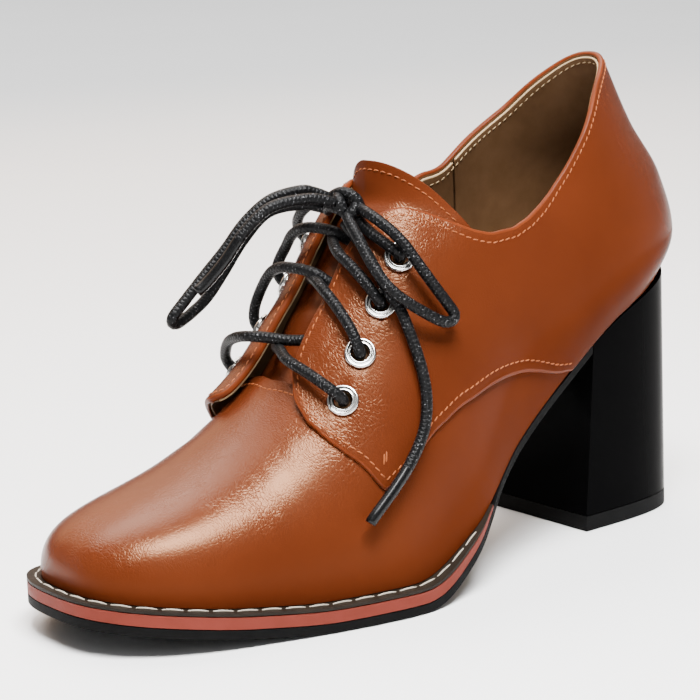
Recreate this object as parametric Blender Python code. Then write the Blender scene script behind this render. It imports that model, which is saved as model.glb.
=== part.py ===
"""Heeled lace-up shoe with a block heel, the left shoe of a pair.

All sizes are millimetres above the floor until to_metres moves them into the scene.
The toe points along -X, the heel along +X, the outer side of the foot along -Y.
"""
import math

import bmesh
import bpy
import numpy as np
from mathutils import Matrix, Vector

MM = 0.001
# Middle of the whole shoe in plan, which becomes the origin
CENTRE = np.array((-1.2, -2.0, 0.0))
GAP = 0.3
SHARP_ANGLE = 40.0
LATERAL, MEDIAL = -1, 1

# The last: length, and how its ends close
TOE_X, TOE_CAP, TOE_ROUND = -112.0, 35.6, 2.75
HEEL_X, HEEL_CAP, HEEL_ROUND = 108.0, 34.0, 2.2

# Cross sections of the last, from the toe to the heel.
# spine is the middle line's y, lateral and medial the half widths, feather the height
# of the lower edge and ridge the height above it. closed is 1 where the section arches
# over to a ridge and 0 where it stands as a wall, full and rise bend the arch.
SECTION_COLUMNS = ("x", "spine", "lateral", "medial", "feather", "ridge", "closed", "full", "rise")
SECTIONS = (
    (-112, 6.0, 25.7, 28.8, 15.4, 19.6, 1.0, 0.70, 0.80),
    (-95, 5.5, 29.7, 29.7, 12.8, 22.9, 1.0, 0.72, 0.80),
    (-75, 4.5, 34.7, 31.5, 9.9, 30.8, 1.0, 0.78, 0.85),
    (-50, 3.0, 40.0, 34.1, 7.8, 46.3, 1.0, 0.85, 0.95),
    (-38, 2.5, 42.2, 34.9, 7.8, 57.0, 1.0, 0.90, 1.00),
    (-25, 2.0, 43.4, 35.3, 7.8, 74.0, 1.0, 0.95, 1.00),
    (0, 2.5, 41.4, 32.5, 18.0, 98.0, 1.0, 1.00, 1.00),
    (25, 3.0, 35.6, 29.3, 38.8, 100.0, 0.8, 1.00, 1.00),
    (50, 2.5, 31.9, 27.4, 55.0, 80.0, 0.3, 1.00, 1.00),
    (75, 1.0, 27.8, 27.0, 68.9, 72.1, 0.0, 1.00, 1.00),
    (108, 0.0, 22.3, 27.6, 79.1, 65.5, 0.0, 1.00, 1.00),
)
# The heel end's wall from its lower edge (share 0) to the back seam's top (share 1)
HEEL_COLUMNS = ("share", "width", "back")
HEEL_WALL = (
    (0.00, 0.95, -0.6),
    (0.20, 1.07, 4.8),
    (0.45, 1.00, 0.2),
    (0.70, 0.87, -10.5),
    (1.00, 0.68, -19.7),
)
HEEL_LEAN_FROM, HEEL_LEAN_TO = 20.0, 100.0
# Below this share the wall is offset level, so that its lower edge stays on the feather line
LEVEL_BELOW = 0.10

# Upper: the vamp is the inner layer, the quarter is sewn on top of it
VAMP_WALL = (-1.8, 0.0)
QUARTER_WALL = (-0.6, 1.2)
# Share of the way from feather to ridge that the vamp reaches, hidden below the quarter
VAMP_COLUMNS = ("x", "top")
VAMP_TOP = (
    (-40, 1.00),
    (-37.5, 0.72),
    (-34, 0.50),
    (-28, 0.40),
    (-16, 0.38),
    (9, 0.31),
    (30, 0.21),
    (44, 0.13),
    (54, 0.06),
    (58, 0.02),
)
# Where the upper is cut into cells: behind the toe's rounding, and besides the rows of the quarter
VAMP_STEP, QUARTER_STEP, QUARTER_EVEN_FROM = 7.5, 8.0, 58.0
VAMP_STATIONS = (-37.5, -34, -28, -22, -16, -8, 0, 9, 18, 26, 34, 42, 49, 54, 58)
QUARTER_STATIONS = {LATERAL: (-25, -20, -11.5, -2.5), MEDIAL: (-28, -22, -10, 2, 13, 24)}
VAMP_CELLS, QUARTER_CELLS = 8, 8
TOE_STATIONS, HEEL_STATIONS, SOLE_TOE_STATIONS = 8, 6, 9
# Lower seam and upper edge of the quarter, as shares of the way from feather to ridge
QUARTER_COLUMNS = ("x", "lower", "upper")
QUARTER = {
    LATERAL: (
        (-43.5, 0.690, 0.710),
        (-42.5, 0.610, 0.790),
        (-40, 0.510, 0.845),
        (-36.5, 0.415, 0.888),
        (-31, 0.280, 0.908),
        (-16, 0.284, 0.912),
        (-7, 0.262, 0.845),
        (2, 0.240, 0.722),
        (9.5, 0.215, 0.606),
        (17, 0.180, 0.514),
        (22.5, 0.152, 0.472),
        (28.5, 0.124, 0.455),
        (34, 0.097, 0.478),
        (40, 0.063, 0.532),
        (46, 0.028, 0.596),
        (50, 0.004, 0.631),
        (58, 0.004, 0.690),
        (65, 0.004, 0.745),
        (78, 0.004, 0.840),
        (90, 0.004, 0.931),
        (108, 0.004, 1.035),
    ),
    MEDIAL: (
        (-48.8, 0.770, 0.795),
        (-47.4, 0.690, 0.850),
        (-44.5, 0.575, 0.873),
        (-40, 0.440, 0.878),
        (-34, 0.290, 0.872),
        (-16, 0.290, 0.868),
        (-4, 0.265, 0.888),
        (8, 0.225, 0.730),
        (18, 0.175, 0.605),
        (31, 0.110, 0.546),
        (40, 0.060, 0.612),
        (50, 0.004, 0.690),
        (60, 0.004, 0.748),
        (82, 0.004, 0.820),
        (98, 0.004, 0.940),
        (108, 0.004, 1.035),
    ),
}
# How far the edge of each facing stands off the last
LIFT_COLUMNS = ("x", "lateral", "medial")
LIFT = (
    (-49.5, 3.0, 3.8),
    (-47.5, 3.0, 5.0),
    (-40, 3.0, 4.75),
    (-25, 3.0, 3.9),
    (-6, 3.0, 3.8),
    (10, 0.0, 0.0),
)
LIFT_FROM, LIFT_SPAN = 0.45, 0.44
DROOP_FROM, DROOP_TO, DROOP = 0.76, 0.88, 0.35

# Eyelets: places on the quarter as (x, share), from the toe up, and the ring's radii and heights
EYELETS = ((-33.9, 0.62), (-25.6, 0.66), (-16.0, 0.675), (-7.7, 0.68))
EYELET_HOLE, EYELET_BARREL, EYELET_FLANGE = 2.5, 3.0, 4.6
EYELET_RIM_HEIGHT, EYELET_FLANGE_SLOPE, EYELET_LIP = 1.0, 0.6, 0.5
EYELET_SEGMENTS = 14
# An eyelet's tilt is read between these steps along and across the quarter
EYELET_STEP_X, EYELET_STEP_SHARE = 1.5, 0.04
QUARTER_HOLE, QUARTER_HOLE_SEGMENTS, HOLE_CUTTER_LENGTH = 3.4, 16, 8.0

# Lace: round cord. Each crossing has two strands, which leave a pair of eyelets for the next pair up.
# A strand's points are (x, side, share, height): a place on the last and a height above it.
LACE_RADIUS = 1.65
LACE_POINT_STEP, STRAND_POINT_STEP, ROUTE_SAMPLES = 4.5, 3.5, 12
LACE_MERGE = 0.01
CROSSINGS = (
    (
        (
            (-33.9, LATERAL, 0.620, 1.4),
            (-34.0, LATERAL, 0.622, 4.6),
            (-35.0, LATERAL, 0.680, 6.6),
            (-36.0, LATERAL, 0.780, 6.8),
            (-36.2, LATERAL, 0.890, 6.9),
            (-34.6, LATERAL, 0.980, 4.6),
            (-33.4, MEDIAL, 0.930, 1.4),
            (-31.6, MEDIAL, 0.880, -0.3),
        ),
        (
            (-33.9, MEDIAL, 0.620, 1.4),
            (-33.9, MEDIAL, 0.622, 5.2),
            (-34.0, MEDIAL, 0.660, 8.6),
            (-33.9, MEDIAL, 0.740, 10.6),
            (-34.2, MEDIAL, 0.820, 11.0),
            (-34.2, MEDIAL, 0.890, 10.4),
            (-33.4, MEDIAL, 0.960, 7.4),
            (-32.6, LATERAL, 0.990, 4.2),
            (-31.8, LATERAL, 0.960, 2.2),
        ),
    ),
    (
        (
            (-25.6, LATERAL, 0.660, 1.4),
            (-25.6, LATERAL, 0.662, 4.6),
            (-24.6, LATERAL, 0.720, 6.6),
            (-23.2, LATERAL, 0.810, 6.8),
            (-21.8, LATERAL, 0.900, 6.9),
            (-20.6, LATERAL, 0.985, 4.6),
            (-19.6, MEDIAL, 0.930, 1.6),
            (-19.2, MEDIAL, 0.890, 0.8),
        ),
        (
            (-25.6, MEDIAL, 0.660, 1.4),
            (-25.6, MEDIAL, 0.662, 6.0),
            (-24.0, MEDIAL, 0.690, 8.8),
            (-21.2, MEDIAL, 0.740, 10.2),
            (-19.8, MEDIAL, 0.810, 10.8),
            (-19.6, MEDIAL, 0.880, 10.0),
            (-19.6, MEDIAL, 0.950, 7.4),
            (-19.6, LATERAL, 0.985, 5.2),
            (-19.8, LATERAL, 0.960, 2.8),
        ),
    ),
    (
        (
            (-16.0, LATERAL, 0.675, 1.4),
            (-16.0, LATERAL, 0.677, 4.6),
            (-16.0, LATERAL, 0.730, 6.6),
            (-15.8, LATERAL, 0.810, 6.8),
            (-15.2, LATERAL, 0.900, 6.6),
            (-13.6, LATERAL, 0.985, 4.0),
            (-11.8, MEDIAL, 0.940, 1.4),
            (-11.0, MEDIAL, 0.900, 0.8),
        ),
        (
            (-16.0, MEDIAL, 0.675, 1.4),
            (-16.0, MEDIAL, 0.677, 6.0),
            (-15.0, MEDIAL, 0.700, 8.8),
            (-13.2, MEDIAL, 0.750, 9.2),
            (-12.6, MEDIAL, 0.820, 9.8),
            (-12.4, MEDIAL, 0.890, 9.0),
            (-12.2, MEDIAL, 0.950, 6.4),
            (-12.2, LATERAL, 0.985, 4.2),
            (-12.4, LATERAL, 0.960, 2.6),
        ),
    ),
    (
        (
            (-7.7, LATERAL, 0.680, 1.4),
            (-7.7, LATERAL, 0.682, 4.6),
            (-8.8, LATERAL, 0.740, 5.8),
            (-9.4, LATERAL, 0.810, 5.9),
            (-9.0, LATERAL, 0.880, 5.2),
            (-7.4, LATERAL, 0.950, 1.6),
            (-6.8, MEDIAL, 0.990, 1.0),
        ),
        (
            (-7.7, MEDIAL, 0.680, 1.4),
            (-7.7, MEDIAL, 0.682, 6.2),
            (-8.0, MEDIAL, 0.730, 9.2),
            (-8.2, MEDIAL, 0.810, 9.8),
            (-7.6, MEDIAL, 0.890, 8.4),
            (-6.8, MEDIAL, 0.960, 3.0),
            (-6.6, LATERAL, 0.990, 1.0),
        ),
    ),
)

# The bow, in the shoe's own frame: knot, two loops and two ends
KNOT = (-14.4, -2.2, 111.4)
KNOT_RADII = (3.8, 3.9, 3.3)
LOOP_LATERAL = (
    (-13.3, -7.0, 110.6),
    (-14.2, -12.2, 109.6),
    (-13.4, -16.8, 107.4),
    (-12.1, -20.8, 104.6),
    (-10.7, -24.2, 101.1),
    (-9.2, -26.8, 97.0),
    (-5.9, -31.5, 89.0),
    (-3.2, -33.7, 84.0),
    (-1.9, -34.6, 81.2),
    (-3.2, -34.7, 79.5),
    (-6.2, -34.3, 79.8),
    (-10.9, -32.8, 82.6),
    (-16.6, -29.6, 87.1),
    (-19.0, -26.8, 90.3),
    (-19.8, -23.4, 93.5),
    (-19.9, -18.9, 97.9),
    (-19.2, -13.6, 103.2),
    (-18.2, -8.8, 107.0),
    (-17.4, -6.4, 109.0),
)
LOOP_MEDIAL = (
    (-17.2, 2.0, 113.2),
    (-21.0, 3.6, 115.0),
    (-25.2, 5.0, 115.9),
    (-33.1, 9.0, 113.8),
    (-40.2, 12.0, 107.9),
    (-46.3, 14.0, 100.4),
    (-52.3, 16.0, 93.7),
    (-58.8, 17.0, 87.2),
    (-63.3, 17.6, 82.4),
    (-60.6, 18.8, 80.4),
    (-50.6, 19.4, 85.4),
    (-44.5, 18.0, 92.8),
    (-38.3, 16.0, 101.8),
    (-31.1, 13.0, 109.4),
    (-22.6, 8.0, 111.2),
    (-16.6, 4.6, 109.8),
)
END_LATERAL = (
    (-16.3, -4.0, 106.2),
    (-16.4, -6.8, 104.3),
    (-16.4, -11.2, 100.8),
    (-16.9, -17.4, 95.3),
    (-17.2, -22.0, 90.7),
    (-17.0, -24.8, 87.5),
    (-15.8, -27.4, 83.6),
    (-14.9, -31.1, 75.4),
    (-14.5, -34.5, 67.0),
    (-15.3, -37.1, 58.9),
    (-18.2, -38.9, 51.0),
    (-23.9, -40.0, 43.5),
    (-30.9, -40.6, 36.9),
    (-38.2, -40.6, 30.6),
    (-40.0, -40.4, 28.6),
)
END_MEDIAL = (
    (-18.8, -2.6, 112.2),
    (-22.8, -1.6, 113.6),
    (-28.2, 0.0, 114.2),
    (-37.8, 3.0, 112.6),
    (-44.7, 6.0, 106.5),
    (-50.8, 8.0, 98.5),
    (-55.6, 10.0, 93.0),
    (-58.9, 11.0, 90.3),
)

# Tongue: below the facings, its top edge above the collar
TONGUE_FOOT_X, TONGUE_TOP_X, TONGUE_EAR_X = -52.0, 1.8, 17.0
TONGUE_FOOT_SPREAD, TONGUE_TOP_SPREAD = 0.24, 0.49
TONGUE_THICK = 1.8
TONGUE_COLUMNS = ("along", "outer", "crest")
TONGUE_OFFSET = (
    (0.00, -3.0, 0.0),
    (0.36, -3.0, 0.0),
    (0.50, -1.3, 0.0),
    (0.86, -1.3, 0.0),
    (1.00, -1.3, 8.0),
)
TONGUE_CREST_SPAN = {LATERAL: 0.80, MEDIAL: 0.60}
# How fast the tongue widens towards its top, and how its top edge falls to the ears
TONGUE_FLARE, TONGUE_TOP_CURVE = 0.7, 1.4
TONGUE_ROWS, TONGUE_PLACES = 12, 15

# Sole: overhang past the feather line, and the height that midsole and welt take up
OUTSOLE_THICK = 2.6
SOLE_COLUMNS = ("x", "overhang", "layers")
SOLE = (
    (-112, 4.0, 4.9),
    (-60, 4.4, 4.9),
    (-20, 4.4, 4.9),
    (-4, 3.2, 4.0),
    (8, 1.0, 1.7),
    (15, 0.4, 0.0),
    (60, 0.4, 0.0),
)
WELT_END_X = 8.0
MIDSOLE_SHARE = 0.74
WELT_INNER = -5.0
SHANK_END_X = 60.6
# The tread lies on the floor between the first two of these, and the waist bends up before the third
FLAT_FROM_X, FLAT_TO_X, ARCH_X = -50.0, -25.0, 20.0
SOLE_STEP, SOLE_FINE_STEP = 7.0, 4.0

# Insole
INSOLE_INSET, INSOLE_THICK, INSOLE_STEP = -2.6, 2.0, 7.0

# Heel block and its top piece
HEEL_FOOT = {"breast": 62.5, "back": 108.6, "lateral": 22.2, "medial": 21.9, "square": 3.6}
HEEL_SEAT = {"breast": 61.2, "back": 108.6, "lateral": 27.6, "medial": 27.0, "square": 2.5}
TOP_PIECE_THICK = 4.8
HEEL_Y = 0.6
HEEL_CELLS = 12


def monotone(x, table, column, names):
    """A smooth curve through one column of a table, with no overshoot, straight past its ends."""
    xs = np.array([row[0] for row in table], float)
    ys = np.array([row[names.index(column)] for row in table], float)
    step = np.diff(xs)
    slope = np.diff(ys) / step
    tangent = np.concatenate(([slope[0]], np.zeros(len(xs) - 2), [slope[-1]]))
    for k in range(1, len(xs) - 1):
        if slope[k - 1] * slope[k] > 0:
            before = 2 * step[k] + step[k - 1]
            after = step[k] + 2 * step[k - 1]
            tangent[k] = (before + after) / (before / slope[k - 1] + after / slope[k])
    inside = float(np.clip(x, xs[0], xs[-1]))
    k = int(np.clip(np.searchsorted(xs, inside, side="right") - 1, 0, len(xs) - 2))
    t = (inside - xs[k]) / step[k]
    start = (1 + 2 * t) * (1 - t) ** 2 * ys[k] + t * (1 - t) ** 2 * step[k] * tangent[k]
    end = t * t * (3 - 2 * t) * ys[k + 1] + t * t * (t - 1) * step[k] * tangent[k + 1]
    beyond = min(x - xs[0], 0.0) * tangent[0] + max(x - xs[-1], 0.0) * tangent[-1]
    return start + end + beyond


def smooth_step(x, low, high):
    t = min(max((x - low) / (high - low), 0.0), 1.0)
    return t * t * (3 - 2 * t)


def section(x, column):
    return monotone(x, SECTIONS, column, SECTION_COLUMNS)


def closing(x):
    """How far the toe and the heel have closed at x, from 1 (open) to 0 (shut)."""
    toe = min(max((TOE_X + TOE_CAP - x) / TOE_CAP, 0.0), 1.0)
    heel = min(max((x - HEEL_X + HEEL_CAP) / HEEL_CAP, 0.0), 1.0)
    return (1 - toe**TOE_ROUND) ** (1 / TOE_ROUND), (1 - heel**HEEL_ROUND) ** (1 / HEEL_ROUND)


def last_point(x, side, share):
    """A point of the last: share 0 is the feather line, 1 the ridge or the back seam's top."""
    toe, heel = closing(x)
    half = section(x, "lateral" if side < 0 else "medial") * toe * heel
    turn = min(max(share, 0.0), 1.0) * math.pi / 2
    closed = section(x, "closed")
    arch_in = max(math.cos(turn), 0.0) ** section(x, "full")
    arch_up = math.sin(turn) ** section(x, "rise")
    wall_in = monotone(share, HEEL_WALL, "width", HEEL_COLUMNS)
    inward = closed * arch_in + (1 - closed) * wall_in
    upward = closed * arch_up + (1 - closed) * share
    lean = smooth_step(x, HEEL_LEAN_FROM, HEEL_LEAN_TO)
    back = monotone(share, HEEL_WALL, "back", HEEL_COLUMNS) * lean
    return np.array((
        x + back,
        section(x, "spine") + side * half * inward,
        section(x, "feather") + section(x, "ridge") * toe * upward,
    ))


def last_normal(x, side, share):
    """The outward normal of the last, from short steps along and across it."""
    along, across = 0.05, 0.002
    if x <= TOE_X:
        return np.array((-1.0, 0.0, 0.0))
    x = min(max(x, TOE_X + along), HEEL_X - along)
    low = max(share - across, 0.0)
    high = min(share + across, 1.0)
    if share > 1 - across and section(x, "closed") < 0.5:
        high = low + 2 * across
    lengthwise = last_point(x + along, side, share) - last_point(x - along, side, share)
    upward = last_point(x, side, high) - last_point(x, side, low)
    normal = np.cross(lengthwise, upward) * (-side)
    normal[2] *= min(share / LEVEL_BELOW, 1.0)
    return normal / np.linalg.norm(normal)


def off_last(x, side, share, height):
    """A point at a height above the last, along its normal."""
    if x >= HEEL_X:
        normal = last_normal(x, LATERAL, share) + last_normal(x, MEDIAL, share)
        normal = normal / np.linalg.norm(normal)
    else:
        normal = last_normal(x, side, share)
    return last_point(x, side, share) + height * normal


def lift(x, side, share):
    """How far a facing stands off: the outer one curls up at its edge, the inner one droops there."""
    if x >= LIFT[-1][0]:
        return 0.0
    most = monotone(x, LIFT, "lateral" if side < 0 else "medial", LIFT_COLUMNS)
    rise = min(max((share - LIFT_FROM) / LIFT_SPAN, 0.0), 1.0)
    if side < 0:
        return most * rise * rise
    return most * (rise * (2 - rise) - DROOP * smooth_step(share, DROOP_FROM, DROOP_TO))


def toe_stations(count):
    """Places along the toe's rounding, close together at its tip."""
    turns = [k / count * math.pi / 2 for k in range(count)]
    return [TOE_X + TOE_CAP * (1 - math.cos(turn) ** (2 / TOE_ROUND)) for turn in turns]


def heel_stations(count):
    turns = [k / count * math.pi / 2 for k in range(count)]
    return [HEEL_X - HEEL_CAP * (1 - math.cos(turn) ** (2 / HEEL_ROUND)) for turn in reversed(turns)]


def spread(start, end, step):
    """Evenly spaced places from start to end, about a step apart."""
    count = max(1, round(abs(end - start) / step))
    return [start + (end - start) * k / count for k in range(count + 1)]


def to_metres(points):
    return (np.asarray(points, float) - CENTRE) * MM


def material(name, colour, roughness, metallic=0.0):
    made = bpy.data.materials.new(name)
    made.use_nodes = True
    shader = made.node_tree.nodes["Principled BSDF"]
    shader.inputs["Base Color"].default_value = (*colour, 1.0)
    shader.inputs["Roughness"].default_value = roughness
    shader.inputs["Metallic"].default_value = metallic
    return made


def mesh_object(name, points, faces, finish):
    """A mesh object from points in millimetres, its faces turned outward."""
    mesh = bpy.data.meshes.new(name)
    mesh.from_pydata([tuple(p) for p in to_metres(points)], [], faces)
    work = bmesh.new()
    work.from_mesh(mesh)
    bmesh.ops.recalc_face_normals(work, faces=work.faces)
    work.to_mesh(mesh)
    work.free()
    mesh.shade_smooth()
    mesh.set_sharp_from_angle(angle=math.radians(SHARP_ANGLE))
    made = bpy.data.objects.new(name, mesh)
    bpy.context.scene.collection.objects.link(made)
    made.data.materials.append(finish)
    return made


def thicken(outer, inner, faces):
    """A closed solid between two sheets that share their faces, with a wall along every free edge."""
    first = {}
    same = []
    for k, point in enumerate(outer):
        same.append(first.setdefault(tuple(np.round(point, 4)), k))
    kept = sorted(set(same))
    number = {old: new for new, old in enumerate(kept)}
    count = len(kept)
    points = [outer[k] for k in kept] + [inner[k] for k in kept]
    sheet = []
    for face in faces:
        ring = [number[same[k]] for k in face]
        ring = [k for j, k in enumerate(ring) if k != ring[j - 1]]
        if len(ring) > 2:
            sheet.append(ring)
    uses = {}
    for ring in sheet:
        for j, k in enumerate(ring):
            edge = (ring[j - 1], k)
            uses.setdefault(frozenset(edge), []).append(edge)
    solid = list(sheet) + [[k + count for k in reversed(ring)] for ring in sheet]
    for edges in uses.values():
        if len(edges) == 1:
            a, b = edges[0]
            solid.append([b, a, a + count, b + count])
    return points, solid


def grid_faces(rows, columns, start=0):
    faces = []
    for i in range(rows - 1):
        for j in range(columns - 1):
            corner = start + i * columns + j
            faces.append([corner, corner + 1, corner + columns + 1, corner + columns])
    return faces


def combine(target, other, operation):
    """Apply a Boolean to target and remove the other object."""
    modifier = target.modifiers.new("combine", "BOOLEAN")
    modifier.operation = operation
    modifier.solver = "EXACT"
    modifier.object = other
    graph = bpy.context.evaluated_depsgraph_get()
    mesh = bpy.data.meshes.new_from_object(target.evaluated_get(graph))
    target.modifiers.clear()
    target.data = mesh
    bpy.data.objects.remove(other)


def fill_pockets(target):
    """Keep the largest shell of a mesh, so that no sealed pocket stays between two layers."""
    work = bmesh.new()
    work.from_mesh(target.data)
    loose = set(work.verts)
    shells = []
    while loose:
        shell, front = set(), [loose.pop()]
        while front:
            vert = front.pop()
            shell.add(vert)
            near = {edge.other_vert(vert) for edge in vert.link_edges} & loose
            loose -= near
            front += near
        shells.append(shell)
    shells.sort(key=len)
    for shell in shells[:-1]:
        bmesh.ops.delete(work, geom=list(shell), context="VERTS")
    work.to_mesh(target.data)
    work.free()


def vamp_sheet():
    """Both sides of the vamp from the toe to the tails under the quarter."""
    stations = toe_stations(TOE_STATIONS) + spread(TOE_X + TOE_CAP, VAMP_TOP[0][0], VAMP_STEP)
    stations += VAMP_STATIONS
    outer, inner, faces = [], [], []
    for side in (LATERAL, MEDIAL):
        faces += grid_faces(len(stations), VAMP_CELLS + 1, len(outer))
        for x in stations:
            top = monotone(max(x, VAMP_TOP[0][0]), VAMP_TOP, "top", VAMP_COLUMNS)
            for j in range(VAMP_CELLS + 1):
                share = top * j / VAMP_CELLS
                outer.append(off_last(x, side, share, VAMP_WALL[1]))
                inner.append(off_last(x, side, share, VAMP_WALL[0]))
    return outer, inner, faces


def quarter_stations(side):
    rows = [row[0] for row in QUARTER[side] if row[0] < QUARTER_EVEN_FROM]
    rows = sorted(rows + list(QUARTER_STATIONS[side]))
    rows += spread(QUARTER_EVEN_FROM, HEEL_X - HEEL_CAP, QUARTER_STEP)
    return rows + heel_stations(HEEL_STATIONS)[1:]


def quarter_sheet():
    """The quarter as one strip from the lateral facing round the heel to the medial facing."""
    outer, inner = [], []
    lateral = [(x, LATERAL) for x in quarter_stations(LATERAL)]
    medial = [(x, MEDIAL) for x in reversed(quarter_stations(MEDIAL)[:-1])]
    for x, side in lateral + medial:
        lower = monotone(x, QUARTER[side], "lower", QUARTER_COLUMNS)
        upper = monotone(x, QUARTER[side], "upper", QUARTER_COLUMNS)
        for j in range(QUARTER_CELLS + 1):
            share = lower + (upper - lower) * j / QUARTER_CELLS
            raised = lift(x, side, share)
            outer.append(quarter_face(x, side, share))
            inner.append(off_last(x, side, share, QUARTER_WALL[0] + raised))
    return outer, inner, grid_faces(len(lateral) + len(medial), QUARTER_CELLS + 1)


def quarter_face(x, side, share):
    """A point of the quarter's outer face."""
    return off_last(x, side, share, QUARTER_WALL[1] + lift(x, side, share))


def eyelet_frame(row, side):
    """The place of an eyelet on the quarter's outer face, its z axis pointing out of the leather."""
    x, share = row
    along = quarter_face(x + EYELET_STEP_X, side, share) - quarter_face(x - EYELET_STEP_X, side, share)
    up = quarter_face(x, side, share + EYELET_STEP_SHARE) - quarter_face(x, side, share - EYELET_STEP_SHARE)
    normal = np.cross(along, up) * (-side)
    turn = Vector(normal).to_track_quat("Z", "Y").to_matrix().to_4x4()
    return Matrix.Translation(Vector(to_metres(quarter_face(x, side, share)))) @ turn


def turned(name, profile, frame, finish):
    """A ring turned from a closed profile of (radius, height) rows."""
    points, faces = [], []
    count = len(profile)
    for k in range(EYELET_SEGMENTS):
        angle = 2 * math.pi * k / EYELET_SEGMENTS
        for radius, height in profile:
            points.append((radius * math.cos(angle), radius * math.sin(angle), height))
    for k in range(EYELET_SEGMENTS):
        here, there = k * count, (k + 1) % EYELET_SEGMENTS * count
        for j in range(count):
            after = (j + 1) % count
            faces.append([here + j, there + j, there + after, here + after])
    made = mesh_object(name, np.array(points) + CENTRE, faces, finish)
    made.matrix_world = frame
    return made


def make_upper(finish):
    upper = mesh_object("upper", *thicken(*vamp_sheet()), finish)
    combine(upper, mesh_object("quarter_form", *thicken(*quarter_sheet()), finish), "UNION")
    fill_pockets(upper)
    for side in (LATERAL, MEDIAL):
        for row in EYELETS:
            cutter = bpy.data.objects.new("hole_cutter", round_bar(QUARTER_HOLE, HOLE_CUTTER_LENGTH))
            bpy.context.scene.collection.objects.link(cutter)
            cutter.matrix_world = eyelet_frame(row, side)
            bpy.context.view_layer.update()
            combine(upper, cutter, "DIFFERENCE")
    return upper


def round_bar(radius, length):
    work = bmesh.new()
    bmesh.ops.create_cone(work, cap_ends=True, segments=QUARTER_HOLE_SEGMENTS, radius1=radius * MM,
                          radius2=radius * MM, depth=length * MM)
    mesh = bpy.data.meshes.new("round_bar")
    work.to_mesh(mesh)
    work.free()
    return mesh


def make_eyelets(finish):
    low = -(QUARTER_WALL[1] - QUARTER_WALL[0]) - GAP
    rim = GAP + EYELET_RIM_HEIGHT
    profile = (
        (EYELET_HOLE, low),
        (EYELET_BARREL, low),
        (EYELET_BARREL, GAP),
        (EYELET_FLANGE, GAP),
        (EYELET_FLANGE - EYELET_FLANGE_SLOPE, rim),
        (EYELET_HOLE + EYELET_LIP, rim),
    )
    for side, word in ((LATERAL, "lateral"), (MEDIAL, "medial")):
        for number, row in enumerate(EYELETS, 1):
            turned(f"eyelet_{word}_{number}", profile, eyelet_frame(row, side), finish)


def smooth_route(points, step):
    """Points about a step apart on a smooth curve through a route's own points."""
    points = [np.array(p, float) for p in points]
    padded = [2 * points[0] - points[1]] + points + [2 * points[-1] - points[-2]]
    fine = []
    for before, start, end, after in zip(padded, padded[1:], padded[2:], padded[3:]):
        for t in np.linspace(0, 1, ROUTE_SAMPLES, endpoint=False):
            fine.append(0.5 * (2 * start + (end - before) * t
                               + (2 * before - 5 * start + 4 * end - after) * t**2
                               + (3 * start - before - 3 * end + after) * t**3))
    fine.append(points[-1])
    lengths = np.concatenate(([0], np.cumsum([np.linalg.norm(b - a) for a, b in zip(fine, fine[1:])])))
    places = np.linspace(0, lengths[-1], max(2, round(lengths[-1] / step)) + 1)
    return np.stack([np.interp(places, lengths, np.array(fine)[:, k]) for k in range(3)], axis=1)


def cord(name, route, finish, step=LACE_POINT_STEP):
    """A round cord along a route, as a curve with a bevel and filled ends."""
    points = to_metres(smooth_route(route, step))
    curve = bpy.data.curves.new(name, "CURVE")
    curve.dimensions = "3D"
    spline = curve.splines.new("POLY")
    spline.points.add(len(points) - 1)
    for target, point in zip(spline.points, points):
        target.co = (*point, 1.0)
    curve.bevel_depth = LACE_RADIUS * MM
    curve.bevel_resolution = 2
    curve.use_fill_caps = True
    curve.materials.append(finish)
    made = bpy.data.objects.new(name, curve)
    bpy.context.scene.collection.objects.link(made)
    return made


def solid_cord(name, route, finish):
    """The same cord as a mesh that a Boolean can join."""
    drawn = cord(name + "_route", route, finish, STRAND_POINT_STEP)
    graph = bpy.context.evaluated_depsgraph_get()
    mesh = bpy.data.meshes.new_from_object(drawn.evaluated_get(graph))
    bpy.data.objects.remove(drawn)
    work = bmesh.new()
    work.from_mesh(mesh)
    bmesh.ops.remove_doubles(work, verts=work.verts, dist=LACE_MERGE * MM)
    bmesh.ops.recalc_face_normals(work, faces=work.faces)
    work.to_mesh(mesh)
    work.free()
    made = bpy.data.objects.new(name, mesh)
    bpy.context.scene.collection.objects.link(made)
    return made


def make_lace(finish):
    for number, strands in enumerate(CROSSINGS, 1):
        lateral, medial = [[off_last(*row) for row in rows] for rows in strands]
        crossing = solid_cord(f"lace_crossing_{number}", lateral, finish)
        combine(crossing, solid_cord("medial_strand", medial, finish), "UNION")
    work = bmesh.new()
    bmesh.ops.create_icosphere(work, subdivisions=2, radius=1.0)
    shape = np.array([v.co for v in work.verts]) * KNOT_RADII + KNOT
    faces = [[v.index for v in f.verts] for f in work.faces]
    work.free()
    mesh_object("lace_knot", shape, faces, finish)
    for name, route in (("lace_loop_lateral", LOOP_LATERAL), ("lace_loop_medial", LOOP_MEDIAL),
                        ("lace_end_lateral", END_LATERAL), ("lace_end_medial", END_MEDIAL)):
        cord(name, route, finish)


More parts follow.
